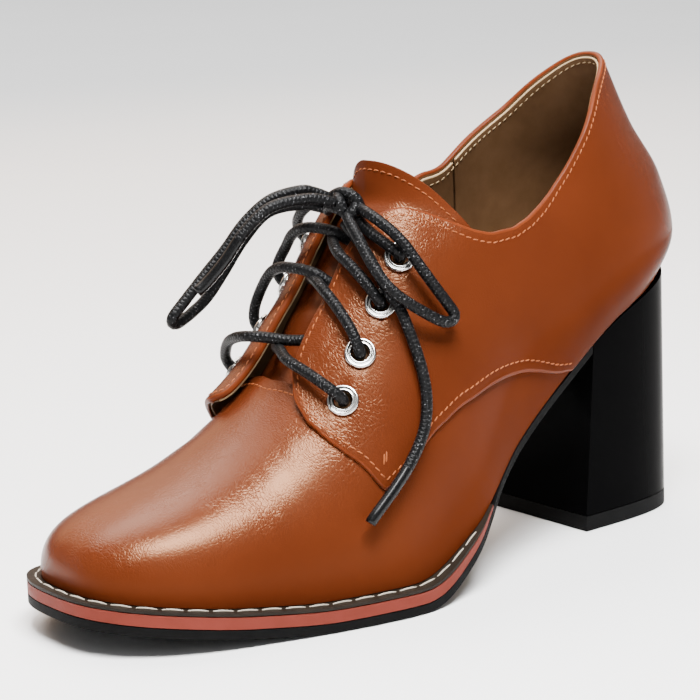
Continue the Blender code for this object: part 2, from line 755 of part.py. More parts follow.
def make_tongue(finish):
    outer, inner = [], []
    for i in range(TONGUE_ROWS):
        along = i / (TONGUE_ROWS - 1)
        width = TONGUE_FOOT_SPREAD + (TONGUE_TOP_SPREAD - TONGUE_FOOT_SPREAD) * along**TONGUE_FLARE
        for j in range(TONGUE_PLACES):
            across = 2 * j / (TONGUE_PLACES - 1) - 1
            side = LATERAL if across < 0 else MEDIAL
            top = TONGUE_TOP_X + (TONGUE_EAR_X - TONGUE_TOP_X) * abs(across) ** TONGUE_TOP_CURVE
            x = TONGUE_FOOT_X + (top - TONGUE_FOOT_X) * along
            share = 1 - width * abs(across)
            crest = monotone(along, TONGUE_OFFSET, "crest", TONGUE_COLUMNS)
            crest *= max(1 - (across / TONGUE_CREST_SPAN[side]) ** 2, 0.0) ** 2
            height = monotone(along, TONGUE_OFFSET, "outer", TONGUE_COLUMNS) + crest
            outer.append(off_last(x, side, share, height))
            inner.append(off_last(x, side, share, height - TONGUE_THICK))
    mesh_object("tongue", *thicken(outer, inner, grid_faces(TONGUE_ROWS, TONGUE_PLACES)), finish)


def outline(stations, offset):
    """The feather line in plan, moved outward by offset(x): rows of (lateral, medial) points."""
    rows = []
    for x in stations:
        pair = []
        for side in (LATERAL, MEDIAL):
            here = last_point(x, side, 0.0)
            if x in (TOE_X, HEEL_X):
                outward = np.array((-1.0 if x == TOE_X else 1.0, 0.0))
            else:
                step = 0.05
                ahead = last_point(min(x + step, HEEL_X), side, 0.0) - last_point(x - step, side, 0.0)
                outward = np.array((-ahead[1], ahead[0])) * side
                outward = outward / np.linalg.norm(outward)
            pair.append(here[:2] + offset(x) * outward)
        rows.append(pair)
    return rows


def plate(name, rows, top, bottom, finish):
    """A plate between two heights that depend on x, over rows of (lateral, medial) points."""
    upper_face, lower_face = [], []
    for pair in rows:
        for x, y in pair:
            upper_face.append(np.array((x, y, top(x))))
            lower_face.append(np.array((x, y, bottom(x))))
    return mesh_object(name, *thicken(upper_face, lower_face, grid_faces(len(rows), 2)), finish)


def feather(x):
    return section(x, "feather")


def overhang(x):
    return monotone(x, SOLE, "overhang", SOLE_COLUMNS)


def layers(x):
    return monotone(x, SOLE, "layers", SOLE_COLUMNS)


def outsole_top(x):
    return feather(x) - GAP - layers(x)


def midsole_bottom(x):
    return outsole_top(x) + GAP


def midsole_top(x):
    return midsole_bottom(x) + MIDSOLE_SHARE * (layers(x) - GAP)


def make_sole(outsole_finish, midsole_finish, welt_finish):
    toe = toe_stations(SOLE_TOE_STATIONS)
    shank = toe + spread(TOE_X + TOE_CAP, FLAT_FROM_X, SOLE_STEP) + [FLAT_TO_X]
    shank += spread(FLAT_TO_X, ARCH_X, SOLE_FINE_STEP)[1:] + spread(ARCH_X, SHANK_END_X, SOLE_STEP)[1:]
    plate("outsole", outline(shank, overhang), outsole_top, lambda x: outsole_top(x) - OUTSOLE_THICK,
          outsole_finish)
    front = toe + spread(TOE_X + TOE_CAP, FLAT_TO_X, SOLE_STEP)
    front += spread(FLAT_TO_X, WELT_END_X, SOLE_FINE_STEP)[1:]
    rows = outline(front, overhang)
    plate("midsole", rows, midsole_top, midsole_bottom, midsole_finish)
    inner = outline(front, lambda x: WELT_INNER)
    ring = [(rows[k][0], inner[k][0]) for k in reversed(range(len(front)))]
    ring += [(rows[k][1], inner[k][1]) for k in range(1, len(front))]
    plate("welt", ring, lambda x: feather(x) - GAP, lambda x: midsole_top(x) + GAP, welt_finish)


def make_insole(finish):
    stations = toe_stations(TOE_STATIONS) + spread(TOE_X + TOE_CAP, HEEL_X - HEEL_CAP, INSOLE_STEP)
    stations += heel_stations(HEEL_STATIONS)[1:]
    rows = outline(stations, lambda x: INSOLE_INSET)
    plate("insole", rows, lambda x: feather(x) + GAP + INSOLE_THICK, lambda x: feather(x) + GAP, finish)


def heel_outline(form):
    """A flat breast and a rounded back: rows of (lateral, medial) points from breast to back."""
    rows = []
    for k in range(HEEL_CELLS + 1):
        turn = k / HEEL_CELLS * math.pi / 2
        out = math.cos(turn) ** (2 / form["square"])
        x = form["breast"] + (form["back"] - form["breast"]) * math.sin(turn) ** (2 / form["square"])
        lateral = np.array((x, HEEL_Y - form["lateral"] * out))
        medial = np.array((x, HEEL_Y + form["medial"] * out))
        rows.append((lateral, medial))
    return rows


def make_heel(block_finish, top_piece_finish):
    foot, seat = heel_outline(HEEL_FOOT), heel_outline(HEEL_SEAT)
    low = [np.array((*p, TOP_PIECE_THICK + GAP)) for pair in foot for p in pair]
    high = [np.array((*p, feather(p[0]) - GAP)) for pair in seat for p in pair]
    mesh_object("heel", *thicken(high, low, grid_faces(HEEL_CELLS + 1, 2)), block_finish)
    plate("heel_top_piece", foot, lambda x: TOP_PIECE_THICK, lambda x: 0.0, top_piece_finish)


def main():
    for old in list(bpy.data.objects):
        bpy.data.objects.remove(old)
    leather = material("leather_brown", (0.33, 0.10, 0.028), 0.35)
    tongue_leather = material("tongue_leather", (0.31, 0.09, 0.025), 0.38)
    sock = material("insole_leather", (0.42, 0.31, 0.21), 0.7)
    black_rubber = material("outsole_black", (0.012, 0.012, 0.012), 0.6)
    red_rubber = material("midsole_red", (0.41, 0.12, 0.09), 0.55)
    welt_brown = material("welt_brown", (0.05, 0.03, 0.022), 0.6)
    gloss_black = material("heel_black", (0.008, 0.008, 0.008), 0.12)
    top_piece_black = material("top_piece_black", (0.015, 0.015, 0.015), 0.65)
    steel = material("eyelet_steel", (0.75, 0.75, 0.74), 0.22, 1.0)
    waxed_black = material("lace_black", (0.02, 0.021, 0.024), 0.5)
    make_upper(leather)
    make_tongue(tongue_leather)
    make_insole(sock)
    make_sole(black_rubber, red_rubber, welt_brown)
    make_heel(gloss_black, top_piece_black)
    make_eyelets(steel)
    make_lace(waxed_black)


main()
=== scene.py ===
"""The finished look of a heeled lace-up shoe, built around its solids.

Sizes are millimetres in the last's own frame until to_metres moves them into the scene.
The toe points along -X, the heel along +X, the outer side of the foot along -Y.
"""

import math

import bmesh
import bpy
import numpy as np
from mathutils import Matrix, Vector
from mathutils.geometry import delaunay_2d_cdt


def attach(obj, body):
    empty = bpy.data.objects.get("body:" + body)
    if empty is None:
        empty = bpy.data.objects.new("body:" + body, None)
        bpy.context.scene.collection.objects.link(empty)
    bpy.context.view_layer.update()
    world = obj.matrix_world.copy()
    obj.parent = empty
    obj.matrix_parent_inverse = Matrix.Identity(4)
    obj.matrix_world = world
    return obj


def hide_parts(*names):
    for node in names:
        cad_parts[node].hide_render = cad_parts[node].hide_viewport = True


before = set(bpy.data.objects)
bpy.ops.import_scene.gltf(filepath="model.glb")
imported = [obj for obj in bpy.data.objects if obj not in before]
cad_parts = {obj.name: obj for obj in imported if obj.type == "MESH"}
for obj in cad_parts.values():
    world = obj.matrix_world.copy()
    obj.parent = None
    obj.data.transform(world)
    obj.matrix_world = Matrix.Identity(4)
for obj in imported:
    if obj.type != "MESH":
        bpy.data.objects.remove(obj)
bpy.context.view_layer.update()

MM = 0.001
CENTRE = np.array((-1.2, -2.0, 0.0))
GAP = 0.3
LATERAL, MEDIAL = -1, 1
SIDES = ((LATERAL, "lateral"), (MEDIAL, "medial"))

# The last: length, and how its ends close
TOE_X, TOE_CAP, TOE_ROUND = -112.0, 35.6, 2.75
HEEL_X, HEEL_CAP, HEEL_ROUND = 108.0, 34.0, 2.2
SECTION_COLUMNS = ("x", "spine", "lateral", "medial", "feather", "ridge", "closed", "full", "rise")
SECTIONS = (
    (-112, 6.0, 25.7, 28.8, 15.4, 19.6, 1.0, 0.70, 0.80),
    (-95, 5.5, 29.7, 29.7, 12.8, 22.9, 1.0, 0.72, 0.80),
    (-75, 4.5, 34.7, 31.5, 9.9, 30.8, 1.0, 0.78, 0.85),
    (-50, 3.0, 40.0, 34.1, 7.8, 46.3, 1.0, 0.85, 0.95),
    (-38, 2.5, 42.2, 34.9, 7.8, 57.0, 1.0, 0.90, 1.00),
    (-25, 2.0, 43.4, 35.3, 7.8, 74.0, 1.0, 0.95, 1.00),
    (0, 2.5, 41.4, 32.5, 18.0, 98.0, 1.0, 1.00, 1.00),
    (25, 3.0, 35.6, 29.3, 38.8, 100.0, 0.8, 1.00, 1.00),
    (50, 2.5, 31.9, 27.4, 55.0, 80.0, 0.3, 1.00, 1.00),
    (75, 1.0, 27.8, 27.0, 68.9, 72.1, 0.0, 1.00, 1.00),
    (108, 0.0, 22.3, 27.6, 79.1, 65.5, 0.0, 1.00, 1.00),
)
HEEL_COLUMNS = ("share", "width", "back")
HEEL_WALL = (
    (0.00, 0.95, -0.6),
    (0.20, 1.07, 4.8),
    (0.45, 1.00, 0.2),
    (0.70, 0.87, -10.5),
    (1.00, 0.68, -19.7),
)
HEEL_LEAN_FROM, HEEL_LEAN_TO = 20.0, 100.0
LEVEL_BELOW = 0.10

# Upper
VAMP_WALL = (-1.8, 0.0)
QUARTER_WALL = (-0.6, 1.2)
VAMP_COLUMNS = ("x", "top")
VAMP_TOP = (
    (-40, 1.00),
    (-37.5, 0.72),
    (-34, 0.50),
    (-28, 0.40),
    (-16, 0.38),
    (9, 0.31),
    (30, 0.21),
    (44, 0.13),
    (54, 0.06),
    (58, 0.02),
)
QUARTER_COLUMNS = ("x", "lower", "upper")
QUARTER = {
    LATERAL: (
        (-43.5, 0.690, 0.710),
        (-42.5, 0.610, 0.790),
        (-40, 0.510, 0.845),
        (-36.5, 0.415, 0.888),
        (-31, 0.280, 0.908),
        (-16, 0.284, 0.912),
        (-7, 0.262, 0.845),
        (2, 0.240, 0.722),
        (9.5, 0.215, 0.606),
        (17, 0.180, 0.514),
        (22.5, 0.152, 0.472),
        (28.5, 0.124, 0.455),
        (34, 0.097, 0.478),
        (40, 0.063, 0.532),
        (46, 0.028, 0.596),
        (50, 0.004, 0.631),
        (58, 0.004, 0.690),
        (65, 0.004, 0.745),
        (78, 0.004, 0.840),
        (90, 0.004, 0.931),
        (108, 0.004, 1.035),
    ),
    MEDIAL: (
        (-48.8, 0.770, 0.795),
        (-47.4, 0.690, 0.850),
        (-44.5, 0.575, 0.873),
        (-40, 0.440, 0.878),
        (-34, 0.290, 0.872),
        (-16, 0.290, 0.868),
        (-4, 0.265, 0.888),
        (8, 0.225, 0.730),
        (18, 0.175, 0.605),
        (31, 0.110, 0.546),
        (40, 0.060, 0.612),
        (50, 0.004, 0.690),
        (60, 0.004, 0.748),
        (82, 0.004, 0.820),
        (98, 0.004, 0.940),
        (108, 0.004, 1.035),
    ),
}
LIFT_COLUMNS = ("x", "lateral", "medial")
LIFT = (
    (-49.5, 3.0, 3.8),
    (-47.5, 3.0, 5.0),
    (-40, 3.0, 4.75),
    (-25, 3.0, 3.9),
    (-6, 3.0, 3.8),
    (10, 0.0, 0.0),
)
LIFT_FROM, LIFT_SPAN = 0.45, 0.44
DROOP_FROM, DROOP_TO, DROOP = 0.76, 0.88, 0.35

# Eyelets: places on the quarter as (x, share), from the toe up
EYELETS = ((-33.9, 0.62), (-25.6, 0.66), (-16.0, 0.675), (-7.7, 0.68))
EYELET_HOLE, EYELET_BARREL, EYELET_FLANGE = 2.5, 3.0, 4.6
QUARTER_HOLE = 3.4

# Tongue
TONGUE_FOOT_X, TONGUE_TOP_X, TONGUE_EAR_X = -52.0, 1.8, 17.0
TONGUE_FOOT_SPREAD, TONGUE_TOP_SPREAD = 0.24, 0.49
TONGUE_THICK = 1.8
TONGUE_COLUMNS = ("along", "outer", "crest")
TONGUE_OFFSET = (
    (0.00, -3.0, 0.0),
    (0.36, -3.0, 0.0),
    (0.50, -1.3, 0.0),
    (0.86, -1.3, 0.0),
    (1.00, -1.3, 8.0),
)
TONGUE_CREST_SPAN = {LATERAL: 0.80, MEDIAL: 0.60}
TONGUE_FLARE, TONGUE_TOP_CURVE = 0.7, 1.4
# The inner corner of the top is rounded off
TONGUE_CORNER, TONGUE_CORNER_SPAN = -4.0, (0.0, 0.45)

# Sole
OUTSOLE_THICK = 2.6
SOLE_COLUMNS = ("x", "overhang", "layers")
SOLE = (
    (-112, 4.0, 4.9),
    (-60, 4.4, 4.9),
    (-20, 4.4, 4.9),
    (-4, 3.2, 4.0),
    (8, 1.0, 1.7),
    (15, 0.4, 0.0),
    (60, 0.4, 0.0),
)
WELT_END_X = 8.0
MIDSOLE_SHARE = 0.74
WELT_INNER = -5.0
WELT_STITCH_SHARE = 0.36
SHANK_END_X = 60.6
INSOLE_INSET_FRONT, INSOLE_INSET_BACK, INSOLE_THICK = -1.95, -1.0, 2.0
INSOLE_WIDENS = (54.0, 58.5)

# Heel block and its top piece
HEEL_FOOT = {"breast": 62.5, "back": 108.6, "lateral": 22.2, "medial": 21.9, "square": 3.6}
HEEL_SEAT = {"breast": 61.2, "back": 108.6, "lateral": 27.6, "medial": 27.0, "square": 2.5}
TOP_PIECE_THICK = 4.8
HEEL_Y = 0.6


# The form of the last

def monotone(x, table, column, names):
    """A smooth curve through one column of a table, with no overshoot, straight past its ends."""
    rows = np.array(table, float)
    xs, ys = rows[:, 0], rows[:, names.index(column)]
    step = np.diff(xs)
    slope = np.diff(ys) / step
    before = 2 * step[1:] + step[:-1]
    after = step[1:] + 2 * step[:-1]
    same_way = slope[:-1] * slope[1:] > 0
    left = np.where(same_way, slope[:-1], 1.0)
    right = np.where(same_way, slope[1:], 1.0)
    middle = np.where(same_way, (before + after) / (before / left + after / right), 0.0)
    tangent = np.concatenate(([slope[0]], middle, [slope[-1]]))
    x = np.asarray(x, float)
    inside = np.clip(x, xs[0], xs[-1])
    k = np.clip(np.searchsorted(xs, inside, side="right") - 1, 0, len(xs) - 2)
    t = (inside - xs[k]) / step[k]
    start = (1 + 2 * t) * (1 - t) ** 2 * ys[k] + t * (1 - t) ** 2 * step[k] * tangent[k]
    end = t * t * (3 - 2 * t) * ys[k + 1] + t * t * (t - 1) * step[k] * tangent[k + 1]
    beyond = np.minimum(x - xs[0], 0.0) * tangent[0] + np.maximum(x - xs[-1], 0.0) * tangent[-1]
    return start + end + beyond


def smooth_step(x, low, high):
    t = np.clip((np.asarray(x, float) - low) / (high - low), 0.0, 1.0)
    return t * t * (3 - 2 * t)


def section(x, column):
    return monotone(x, SECTIONS, column, SECTION_COLUMNS)


def closing(x):
    """How far the toe and the heel have closed at x, from 1 (open) to 0 (shut)."""
    toe = np.clip((TOE_X + TOE_CAP - x) / TOE_CAP, 0.0, 1.0)
    heel = np.clip((x - HEEL_X + HEEL_CAP) / HEEL_CAP, 0.0, 1.0)
    return (1 - toe**TOE_ROUND) ** (1 / TOE_ROUND), (1 - heel**HEEL_ROUND) ** (1 / HEEL_ROUND)


def last_point(x, side, share):
    """Points of the last: share 0 is the feather line, 1 the ridge or the back seam's top."""
    x, side, share = np.broadcast_arrays(*(np.asarray(v, float) for v in (x, side, share)))
    toe, heel = closing(x)
    half = np.where(side < 0, section(x, "lateral"), section(x, "medial")) * toe * heel
    turn = np.clip(share, 0.0, 1.0) * math.pi / 2
    closed = section(x, "closed")
    arch_in = np.maximum(np.cos(turn), 0.0) ** section(x, "full")
    arch_up = np.sin(turn) ** section(x, "rise")
    wall_in = monotone(share, HEEL_WALL, "width", HEEL_COLUMNS)
    inward = closed * arch_in + (1 - closed) * wall_in
    upward = closed * arch_up + (1 - closed) * share
    back = monotone(share, HEEL_WALL, "back", HEEL_COLUMNS) * smooth_step(x, HEEL_LEAN_FROM, HEEL_LEAN_TO)
    return np.stack((
        x + back,
        section(x, "spine") + side * half * inward,
        section(x, "feather") + section(x, "ridge") * toe * upward,
    ), axis=-1)


def last_normal(x, side, share):
    """Outward normals of the last, from short steps along and across it."""
    along, across = 0.05, 0.002
    x, side, share = np.broadcast_arrays(*(np.asarray(v, float) for v in (x, side, share)))
    inside = np.clip(x, TOE_X + along, HEEL_X - along)
    low = np.maximum(share - across, 0.0)
    open_top = (share > 1 - across) & (section(inside, "closed") < 0.5)
    high = np.where(open_top, low + 2 * across, np.minimum(share + across, 1.0))
    lengthwise = last_point(inside + along, side, share) - last_point(inside - along, side, share)
    upward = last_point(inside, side, high) - last_point(inside, side, low)
    normal = np.cross(lengthwise, upward) * (-side)[..., None]
    normal[..., 2] *= np.minimum(share / LEVEL_BELOW, 1.0)
    normal /= np.linalg.norm(normal, axis=-1, keepdims=True)
    return np.where((x <= TOE_X)[..., None], np.array((-1.0, 0.0, 0.0)), normal)


def off_last(x, side, share, height):
    """Points at a height above the last, along its normal, level across the middle of the back."""
    normal = last_normal(x, side, share)
    mirrored = last_normal(x, -np.asarray(side, float), share)
    at_back = np.broadcast_to(smooth_step(x, HEEL_X - 0.4, HEEL_X), normal.shape[:-1])[..., None]
    normal = normal + mirrored * at_back
    normal /= np.linalg.norm(normal, axis=-1, keepdims=True)
    return last_point(x, side, share) + np.asarray(height, float)[..., None] * normal


def lift(x, side, share):
    """How far a facing stands off: the outer one curls up at its edge, the inner one droops there."""
    x = np.asarray(x, float)
    lateral = monotone(x, LIFT, "lateral", LIFT_COLUMNS)
    medial = monotone(x, LIFT, "medial", LIFT_COLUMNS)
    most = np.where(np.asarray(side) < 0, lateral, medial)
    rise = np.clip((np.asarray(share, float) - LIFT_FROM) / LIFT_SPAN, 0.0, 1.0)
    droop = DROOP * smooth_step(share, DROOP_FROM, DROOP_TO)
    curl = np.where(np.asarray(side) < 0, rise * rise, rise * (2 - rise) - droop)
    return np.where(x < LIFT[-1][0], most * curl, 0.0)


def quarter_edge(x, side, column):
    lateral = monotone(x, QUARTER[LATERAL], column, QUARTER_COLUMNS)
    medial = monotone(x, QUARTER[MEDIAL], column, QUARTER_COLUMNS)
    return np.where(np.asarray(side) < 0, lateral, medial)


def toe_stations(count):
    turns = np.arange(count) / count * math.pi / 2
    return list(TOE_X + TOE_CAP * (1 - np.cos(turns) ** (2 / TOE_ROUND)))


def heel_stations(count):
    turns = np.arange(count)[::-1] / count * math.pi / 2
    return list(HEEL_X - HEEL_CAP * (1 - np.cos(turns) ** (2 / HEEL_ROUND)))


def spread(start, end, step):
    count = max(1, round(abs(end - start) / step))
    return [start + (end - start) * k / count for k in range(count + 1)]


def to_metres(points):
    return (np.asarray(points, float) - CENTRE) * MM


# Meshes

def mesh_object(name, points, faces, finishes, face_finish=None, smooth_angle=None):
    """A mesh object from points in millimetres, its faces turned outward."""
    mesh = bpy.data.meshes.new(name)
    mesh.from_pydata(to_metres(points).tolist(), [], [list(map(int, f)) for f in faces])
    for finish in finishes if isinstance(finishes, (list, tuple)) else [finishes]:
        mesh.materials.append(finish)
    if face_finish is not None:
        mesh.polygons.foreach_set("material_index", np.asarray(face_finish, np.int32))
    work = bmesh.new()
    work.from_mesh(mesh)
    bmesh.ops.recalc_face_normals(work, faces=work.faces)
    work.to_mesh(mesh)
    work.free()
    mesh.shade_smooth()
    if smooth_angle:
        mesh.set_sharp_from_angle(angle=math.radians(smooth_angle))
    made = bpy.data.objects.new(name, mesh)
    bpy.context.scene.collection.objects.link(made)
    return made


def add_piece(made, slot, *nodes):
    """Attach a piece to the shoe's one body, so that it rides on it, and hide the parts it replaces."""
    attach(made, "root")
    if nodes:
        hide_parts(*nodes)
    return made


def grid_faces(rows, columns, start=0):
    corner = start + np.arange(rows - 1)[:, None] * columns + np.arange(columns - 1)[None, :]
    corner = corner.ravel()
    return np.stack((corner, corner + 1, corner + columns + 1, corner + columns), axis=1).tolist()


def thicken(outer, inner, faces):
    """A closed solid between two sheets that share their faces: points, faces and each face's part.

    Parts are 0 for the outer sheet, 1 for the inner sheet and 2 for the edge walls.
    """
    keys = [tuple(p) for p in np.round(outer, 4)]
    first = {}
    same = [first.setdefault(key, k) for k, key in enumerate(keys)]
    kept = sorted(set(same))
    number = {old: new for new, old in enumerate(kept)}
    count = len(kept)
    points = np.concatenate((np.asarray(outer)[kept], np.asarray(inner)[kept]))
    sheet = []
    for face in faces:
        ring = [number[same[k]] for k in face]
        ring = [k for j, k in enumerate(ring) if k != ring[j - 1]]
        if len(ring) > 2:
            sheet.append(ring)
    uses = {}
    for ring in sheet:
        for j, k in enumerate(ring):
            uses.setdefault(frozenset((ring[j - 1], k)), []).append((ring[j - 1], k))
    walls = []
    for edges in uses.values():
        if len(edges) == 1:
            a, b = edges[0]
            walls.append([b, a, a + count, b + count])
    inside = [[k + count for k in reversed(ring)] for ring in sheet]
    parts = [0] * len(sheet) + [1] * len(inside) + [2] * len(walls)
    return points, sheet + inside + walls, parts


def bevelled(made, width, segments=2, angle=45):
    """Round the sharp edges of a piece."""
    modifier = made.modifiers.new("edge", "BEVEL")
    modifier.width = width * MM
    modifier.segments = segments
    modifier.limit_method = "ANGLE"
    modifier.angle_limit = math.radians(angle)
    modifier.use_clamp_overlap = True
    return made


def smooth_route(points, step):
    """Points about a step apart on a smooth curve through a route's own points."""
    points = np.asarray(points, float)
    padded = np.concatenate(([2 * points[0] - points[1]], points, [2 * points[-1] - points[-2]]))
    t = np.linspace(0, 1, 16, endpoint=False)[:, None]
    fine = []
    for before, start, end, after in zip(padded, padded[1:], padded[2:], padded[3:]):
        fine.append(0.5 * (2 * start + (end - before) * t
                           + (2 * before - 5 * start + 4 * end - after) * t**2
                           + (3 * start - before - 3 * end + after) * t**3))
    fine = np.concatenate(fine + [points[-1:]])
    return even_route(fine, step)


def even_route(fine, step):
    lengths = np.concatenate(([0], np.cumsum(np.linalg.norm(np.diff(fine, axis=0), axis=1))))
    places = np.linspace(0, lengths[-1], max(2, round(lengths[-1] / step)) + 1)
    return np.stack([np.interp(places, lengths, fine[:, k]) for k in range(fine.shape[1])], axis=1)


def route_frames(points):
    """Two directions across a route at each point, carried along it without twist."""
    tangents = np.gradient(points, axis=0)
    tangents /= np.linalg.norm(tangents, axis=1, keepdims=True)
    side = np.cross(tangents[0], (0.0, 0.0, 1.0))
    if np.linalg.norm(side) < 0.1:
        side = np.cross(tangents[0], (0.0, 1.0, 0.0))
    sides = []
    for tangent in tangents:
        side = side - tangent * (side @ tangent)
        side = side / np.linalg.norm(side)
        sides.append(side)
    sides = np.array(sides)
    return sides, np.cross(tangents, sides)


def tube_faces(rings, around, start=0):
    """Faces of a tube of rings of points, with both ends closed."""
    faces = []
    for ring in range(start, start + (rings - 1) * around, around):
        for j in range(around):
            after = (j + 1) % around
            faces.append((ring + j, ring + after, ring + around + after, ring + around + j))
    faces.append(tuple(start + j for j in reversed(range(around))))
    faces.append(tuple(start + (rings - 1) * around + j for j in range(around)))
    return faces


def tube(name, points, radius, around, finish):
    """A round tube along points, with closed ends and a UV map in millimetres along and around it."""
    sides, ups = route_frames(points)
    turns = np.arange(around) / around * 2 * math.pi
    ring = np.cos(turns)[None, :, None] * sides[:, None] + np.sin(turns)[None, :, None] * ups[:, None]
    shape = (points[:, None] + ring * radius).reshape(-1, 3)
    made = mesh_object(name, shape, tube_faces(len(points), around), finish)
    lengths = np.concatenate(([0], np.cumsum(np.linalg.norm(np.diff(points, axis=0), axis=1))))
    layer = made.data.uv_layers.new(name="UVMap")
    for polygon in made.data.polygons:
        corners = [made.data.loops[k].vertex_index for k in polygon.loop_indices]
        wraps = max(c % around for c in corners) == around - 1 and min(c % around for c in corners) == 0
        for k, corner in zip(polygon.loop_indices, corners):
            turn = corner % around
            if wraps and turn == 0 and len(corners) == 4:
                turn = around
            layer.data[k].uv = (lengths[corner // around], turn / around)
    return made


# Materials

def new_material(name):
    made = bpy.data.materials.new(name)
    made.use_nodes = True
    return made, made.node_tree, made.node_tree.nodes["Principled BSDF"]


def node(tree, kind, **values):
    made = tree.nodes.new(kind)
    for key, value in values.items():
        if key in made.inputs:
            made.inputs[key].default_value = value
        else:
            setattr(made, key, value)
    return made


def noise(tree, vector, scale, detail=3.0, roughness=0.55):
    made = node(tree, "ShaderNodeTexNoise", Scale=scale, Detail=detail, Roughness=roughness)
    tree.links.new(vector, made.inputs["Vector"])
    return made.outputs["Fac"]


def ramp(tree, value, stops):
    """A colour ramp with stops of (place, colour)."""
    made = tree.nodes.new("ShaderNodeValToRGB")
    while len(made.color_ramp.elements) < len(stops):
        made.color_ramp.elements.new(0.5)
    for element, (place, colour) in zip(made.color_ramp.elements, stops):
        element.position = place
        element.color = (*colour, 1.0) if len(colour) == 3 else colour
    tree.links.new(value, made.inputs["Fac"])
    return made.outputs["Color"]


def math_node(tree, operation, first, second=0.0):
    made = tree.nodes.new("ShaderNodeMath")
    made.operation = operation
    for socket, value in zip(made.inputs, (first, second)):
        if isinstance(value, (int, float)):
            socket.default_value = value
        else:
            tree.links.new(value, socket)
    return made.outputs["Value"]


def value_range(tree, value, low, high, from_low=0.0, from_high=1.0):
    made = node(tree, "ShaderNodeMapRange")
    for key, number in (("From Min", from_low), ("From Max", from_high), ("To Min", low), ("To Max", high)):
        made.inputs[key].default_value = number
    tree.links.new(value, made.inputs["Value"])
    return made.outputs["Result"]


def bump(tree, height, distance, strength=1.0, below=None):
    made = node(tree, "ShaderNodeBump", Distance=distance * MM, Strength=strength)
    tree.links.new(height, made.inputs["Height"])
    if below is not None:
        tree.links.new(below, made.inputs["Normal"])
    return made.outputs["Normal"]


# Tinted wax on the leather keeps its reflections warm
WAX_TINT = (1.0, 0.52, 0.28, 1.0)
# Leather: how far up it faces where wrinkles begin and are full, where its reflection level begins and is
# full, and the least and most reflection level. The low level on its sideways and downward faces is painted
# shade on their reflections
WRINKLE_FACING, SHADED_REFLECTION_FACING, SHADED_REFLECTION_LEVELS = (0.10, 0.45), (0.05, 0.5), (0.008, 0.38)
CLOUD_SCALE, WAVE_SCALE, WORN_SCALE, WARP_SCALE, GRAIN_SCALE = 20.0, 30.0, 48.0, 160.0, 2400.0
# The net of wrinkles: its mesh, stretch, turn, the bend of its lines in metres and their width
NET_SCALE, NET_STRETCH, NET_TURN = 860.0, (1.5, 0.75, 0.85), (0.0, 0.35, 0.5)
NET_BEND, NET_LINE = 0.004, 0.22
WAVE_DEPTH, WAVE_STRENGTH = 0.5, 0.35
GRAIN_DEPTH, GRAIN_STRENGTH = 0.02, 0.6


def leather(name, light, dark, roughness, wrinkle_depth):
    """Leather with cloudy colour and fine grain, finely wrinkled where it faces up, its reflections turned
    down where it faces sideways or down as painted shade.
    """
    made, tree, shader = new_material(name)
    coordinates = tree.nodes.new("ShaderNodeTexCoord")
    place = coordinates.outputs["Object"]
    facing = tree.nodes.new("ShaderNodeSeparateXYZ")
    tree.links.new(coordinates.outputs["Normal"], facing.inputs["Vector"])
    upward = value_range(tree, facing.outputs["Z"], 0.0, 1.0, *WRINKLE_FACING)
    clouds = noise(tree, place, CLOUD_SCALE, detail=4.0, roughness=0.5)
    tree.links.new(ramp(tree, clouds, ((0.0, dark), (1.0, light))), shader.inputs["Base Color"])
    shader.inputs["Roughness"].default_value = roughness
    warp = node(tree, "ShaderNodeTexNoise", Scale=WARP_SCALE, Detail=2.0)
    tree.links.new(place, warp.inputs["Vector"])
    bent = node(tree, "ShaderNodeVectorMath", operation="MULTIPLY_ADD")
    tree.links.new(warp.outputs["Color"], bent.inputs[0])
    bent.inputs[1].default_value = (NET_BEND, NET_BEND, NET_BEND)
    tree.links.new(place, bent.inputs[2])
    stretched = node(tree, "ShaderNodeMapping", Scale=NET_STRETCH)
    stretched.inputs["Rotation"].default_value = NET_TURN
    tree.links.new(bent.outputs["Vector"], stretched.inputs["Vector"])
    net = node(tree, "ShaderNodeTexVoronoi", feature="DISTANCE_TO_EDGE", Scale=NET_SCALE)
    tree.links.new(stretched.outputs["Vector"], net.inputs["Vector"])
    lines = value_range(tree, net.outputs["Distance"], -1.0, 0.0, 0.0, NET_LINE)
    worn = value_range(tree, noise(tree, place, WORN_SCALE, detail=2.0), 0.35, 1.0, 0.38, 0.60)
    worn = math_node(tree, "MULTIPLY", worn, upward)
    waves = bump(tree, noise(tree, place, WAVE_SCALE, detail=1.0), WAVE_DEPTH, WAVE_STRENGTH)
    wrinkles = bump(tree, math_node(tree, "MULTIPLY", lines, worn), wrinkle_depth, 1.0, waves)
    grain = bump(tree, noise(tree, place, GRAIN_SCALE, detail=2.0), GRAIN_DEPTH, GRAIN_STRENGTH, wrinkles)
    tree.links.new(grain, shader.inputs["Normal"])
    # The reflection level rises with how far the leather faces up: painted shade on the reflections of its
    # lower sides
    reflection_shaded_by_facing = value_range(tree, facing.outputs["Z"], *SHADED_REFLECTION_LEVELS, *SHADED_REFLECTION_FACING)
    tree.links.new(reflection_shaded_by_facing, shader.inputs["Specular IOR Level"])
    shader.inputs["Specular Tint"].default_value = WAX_TINT
    return made


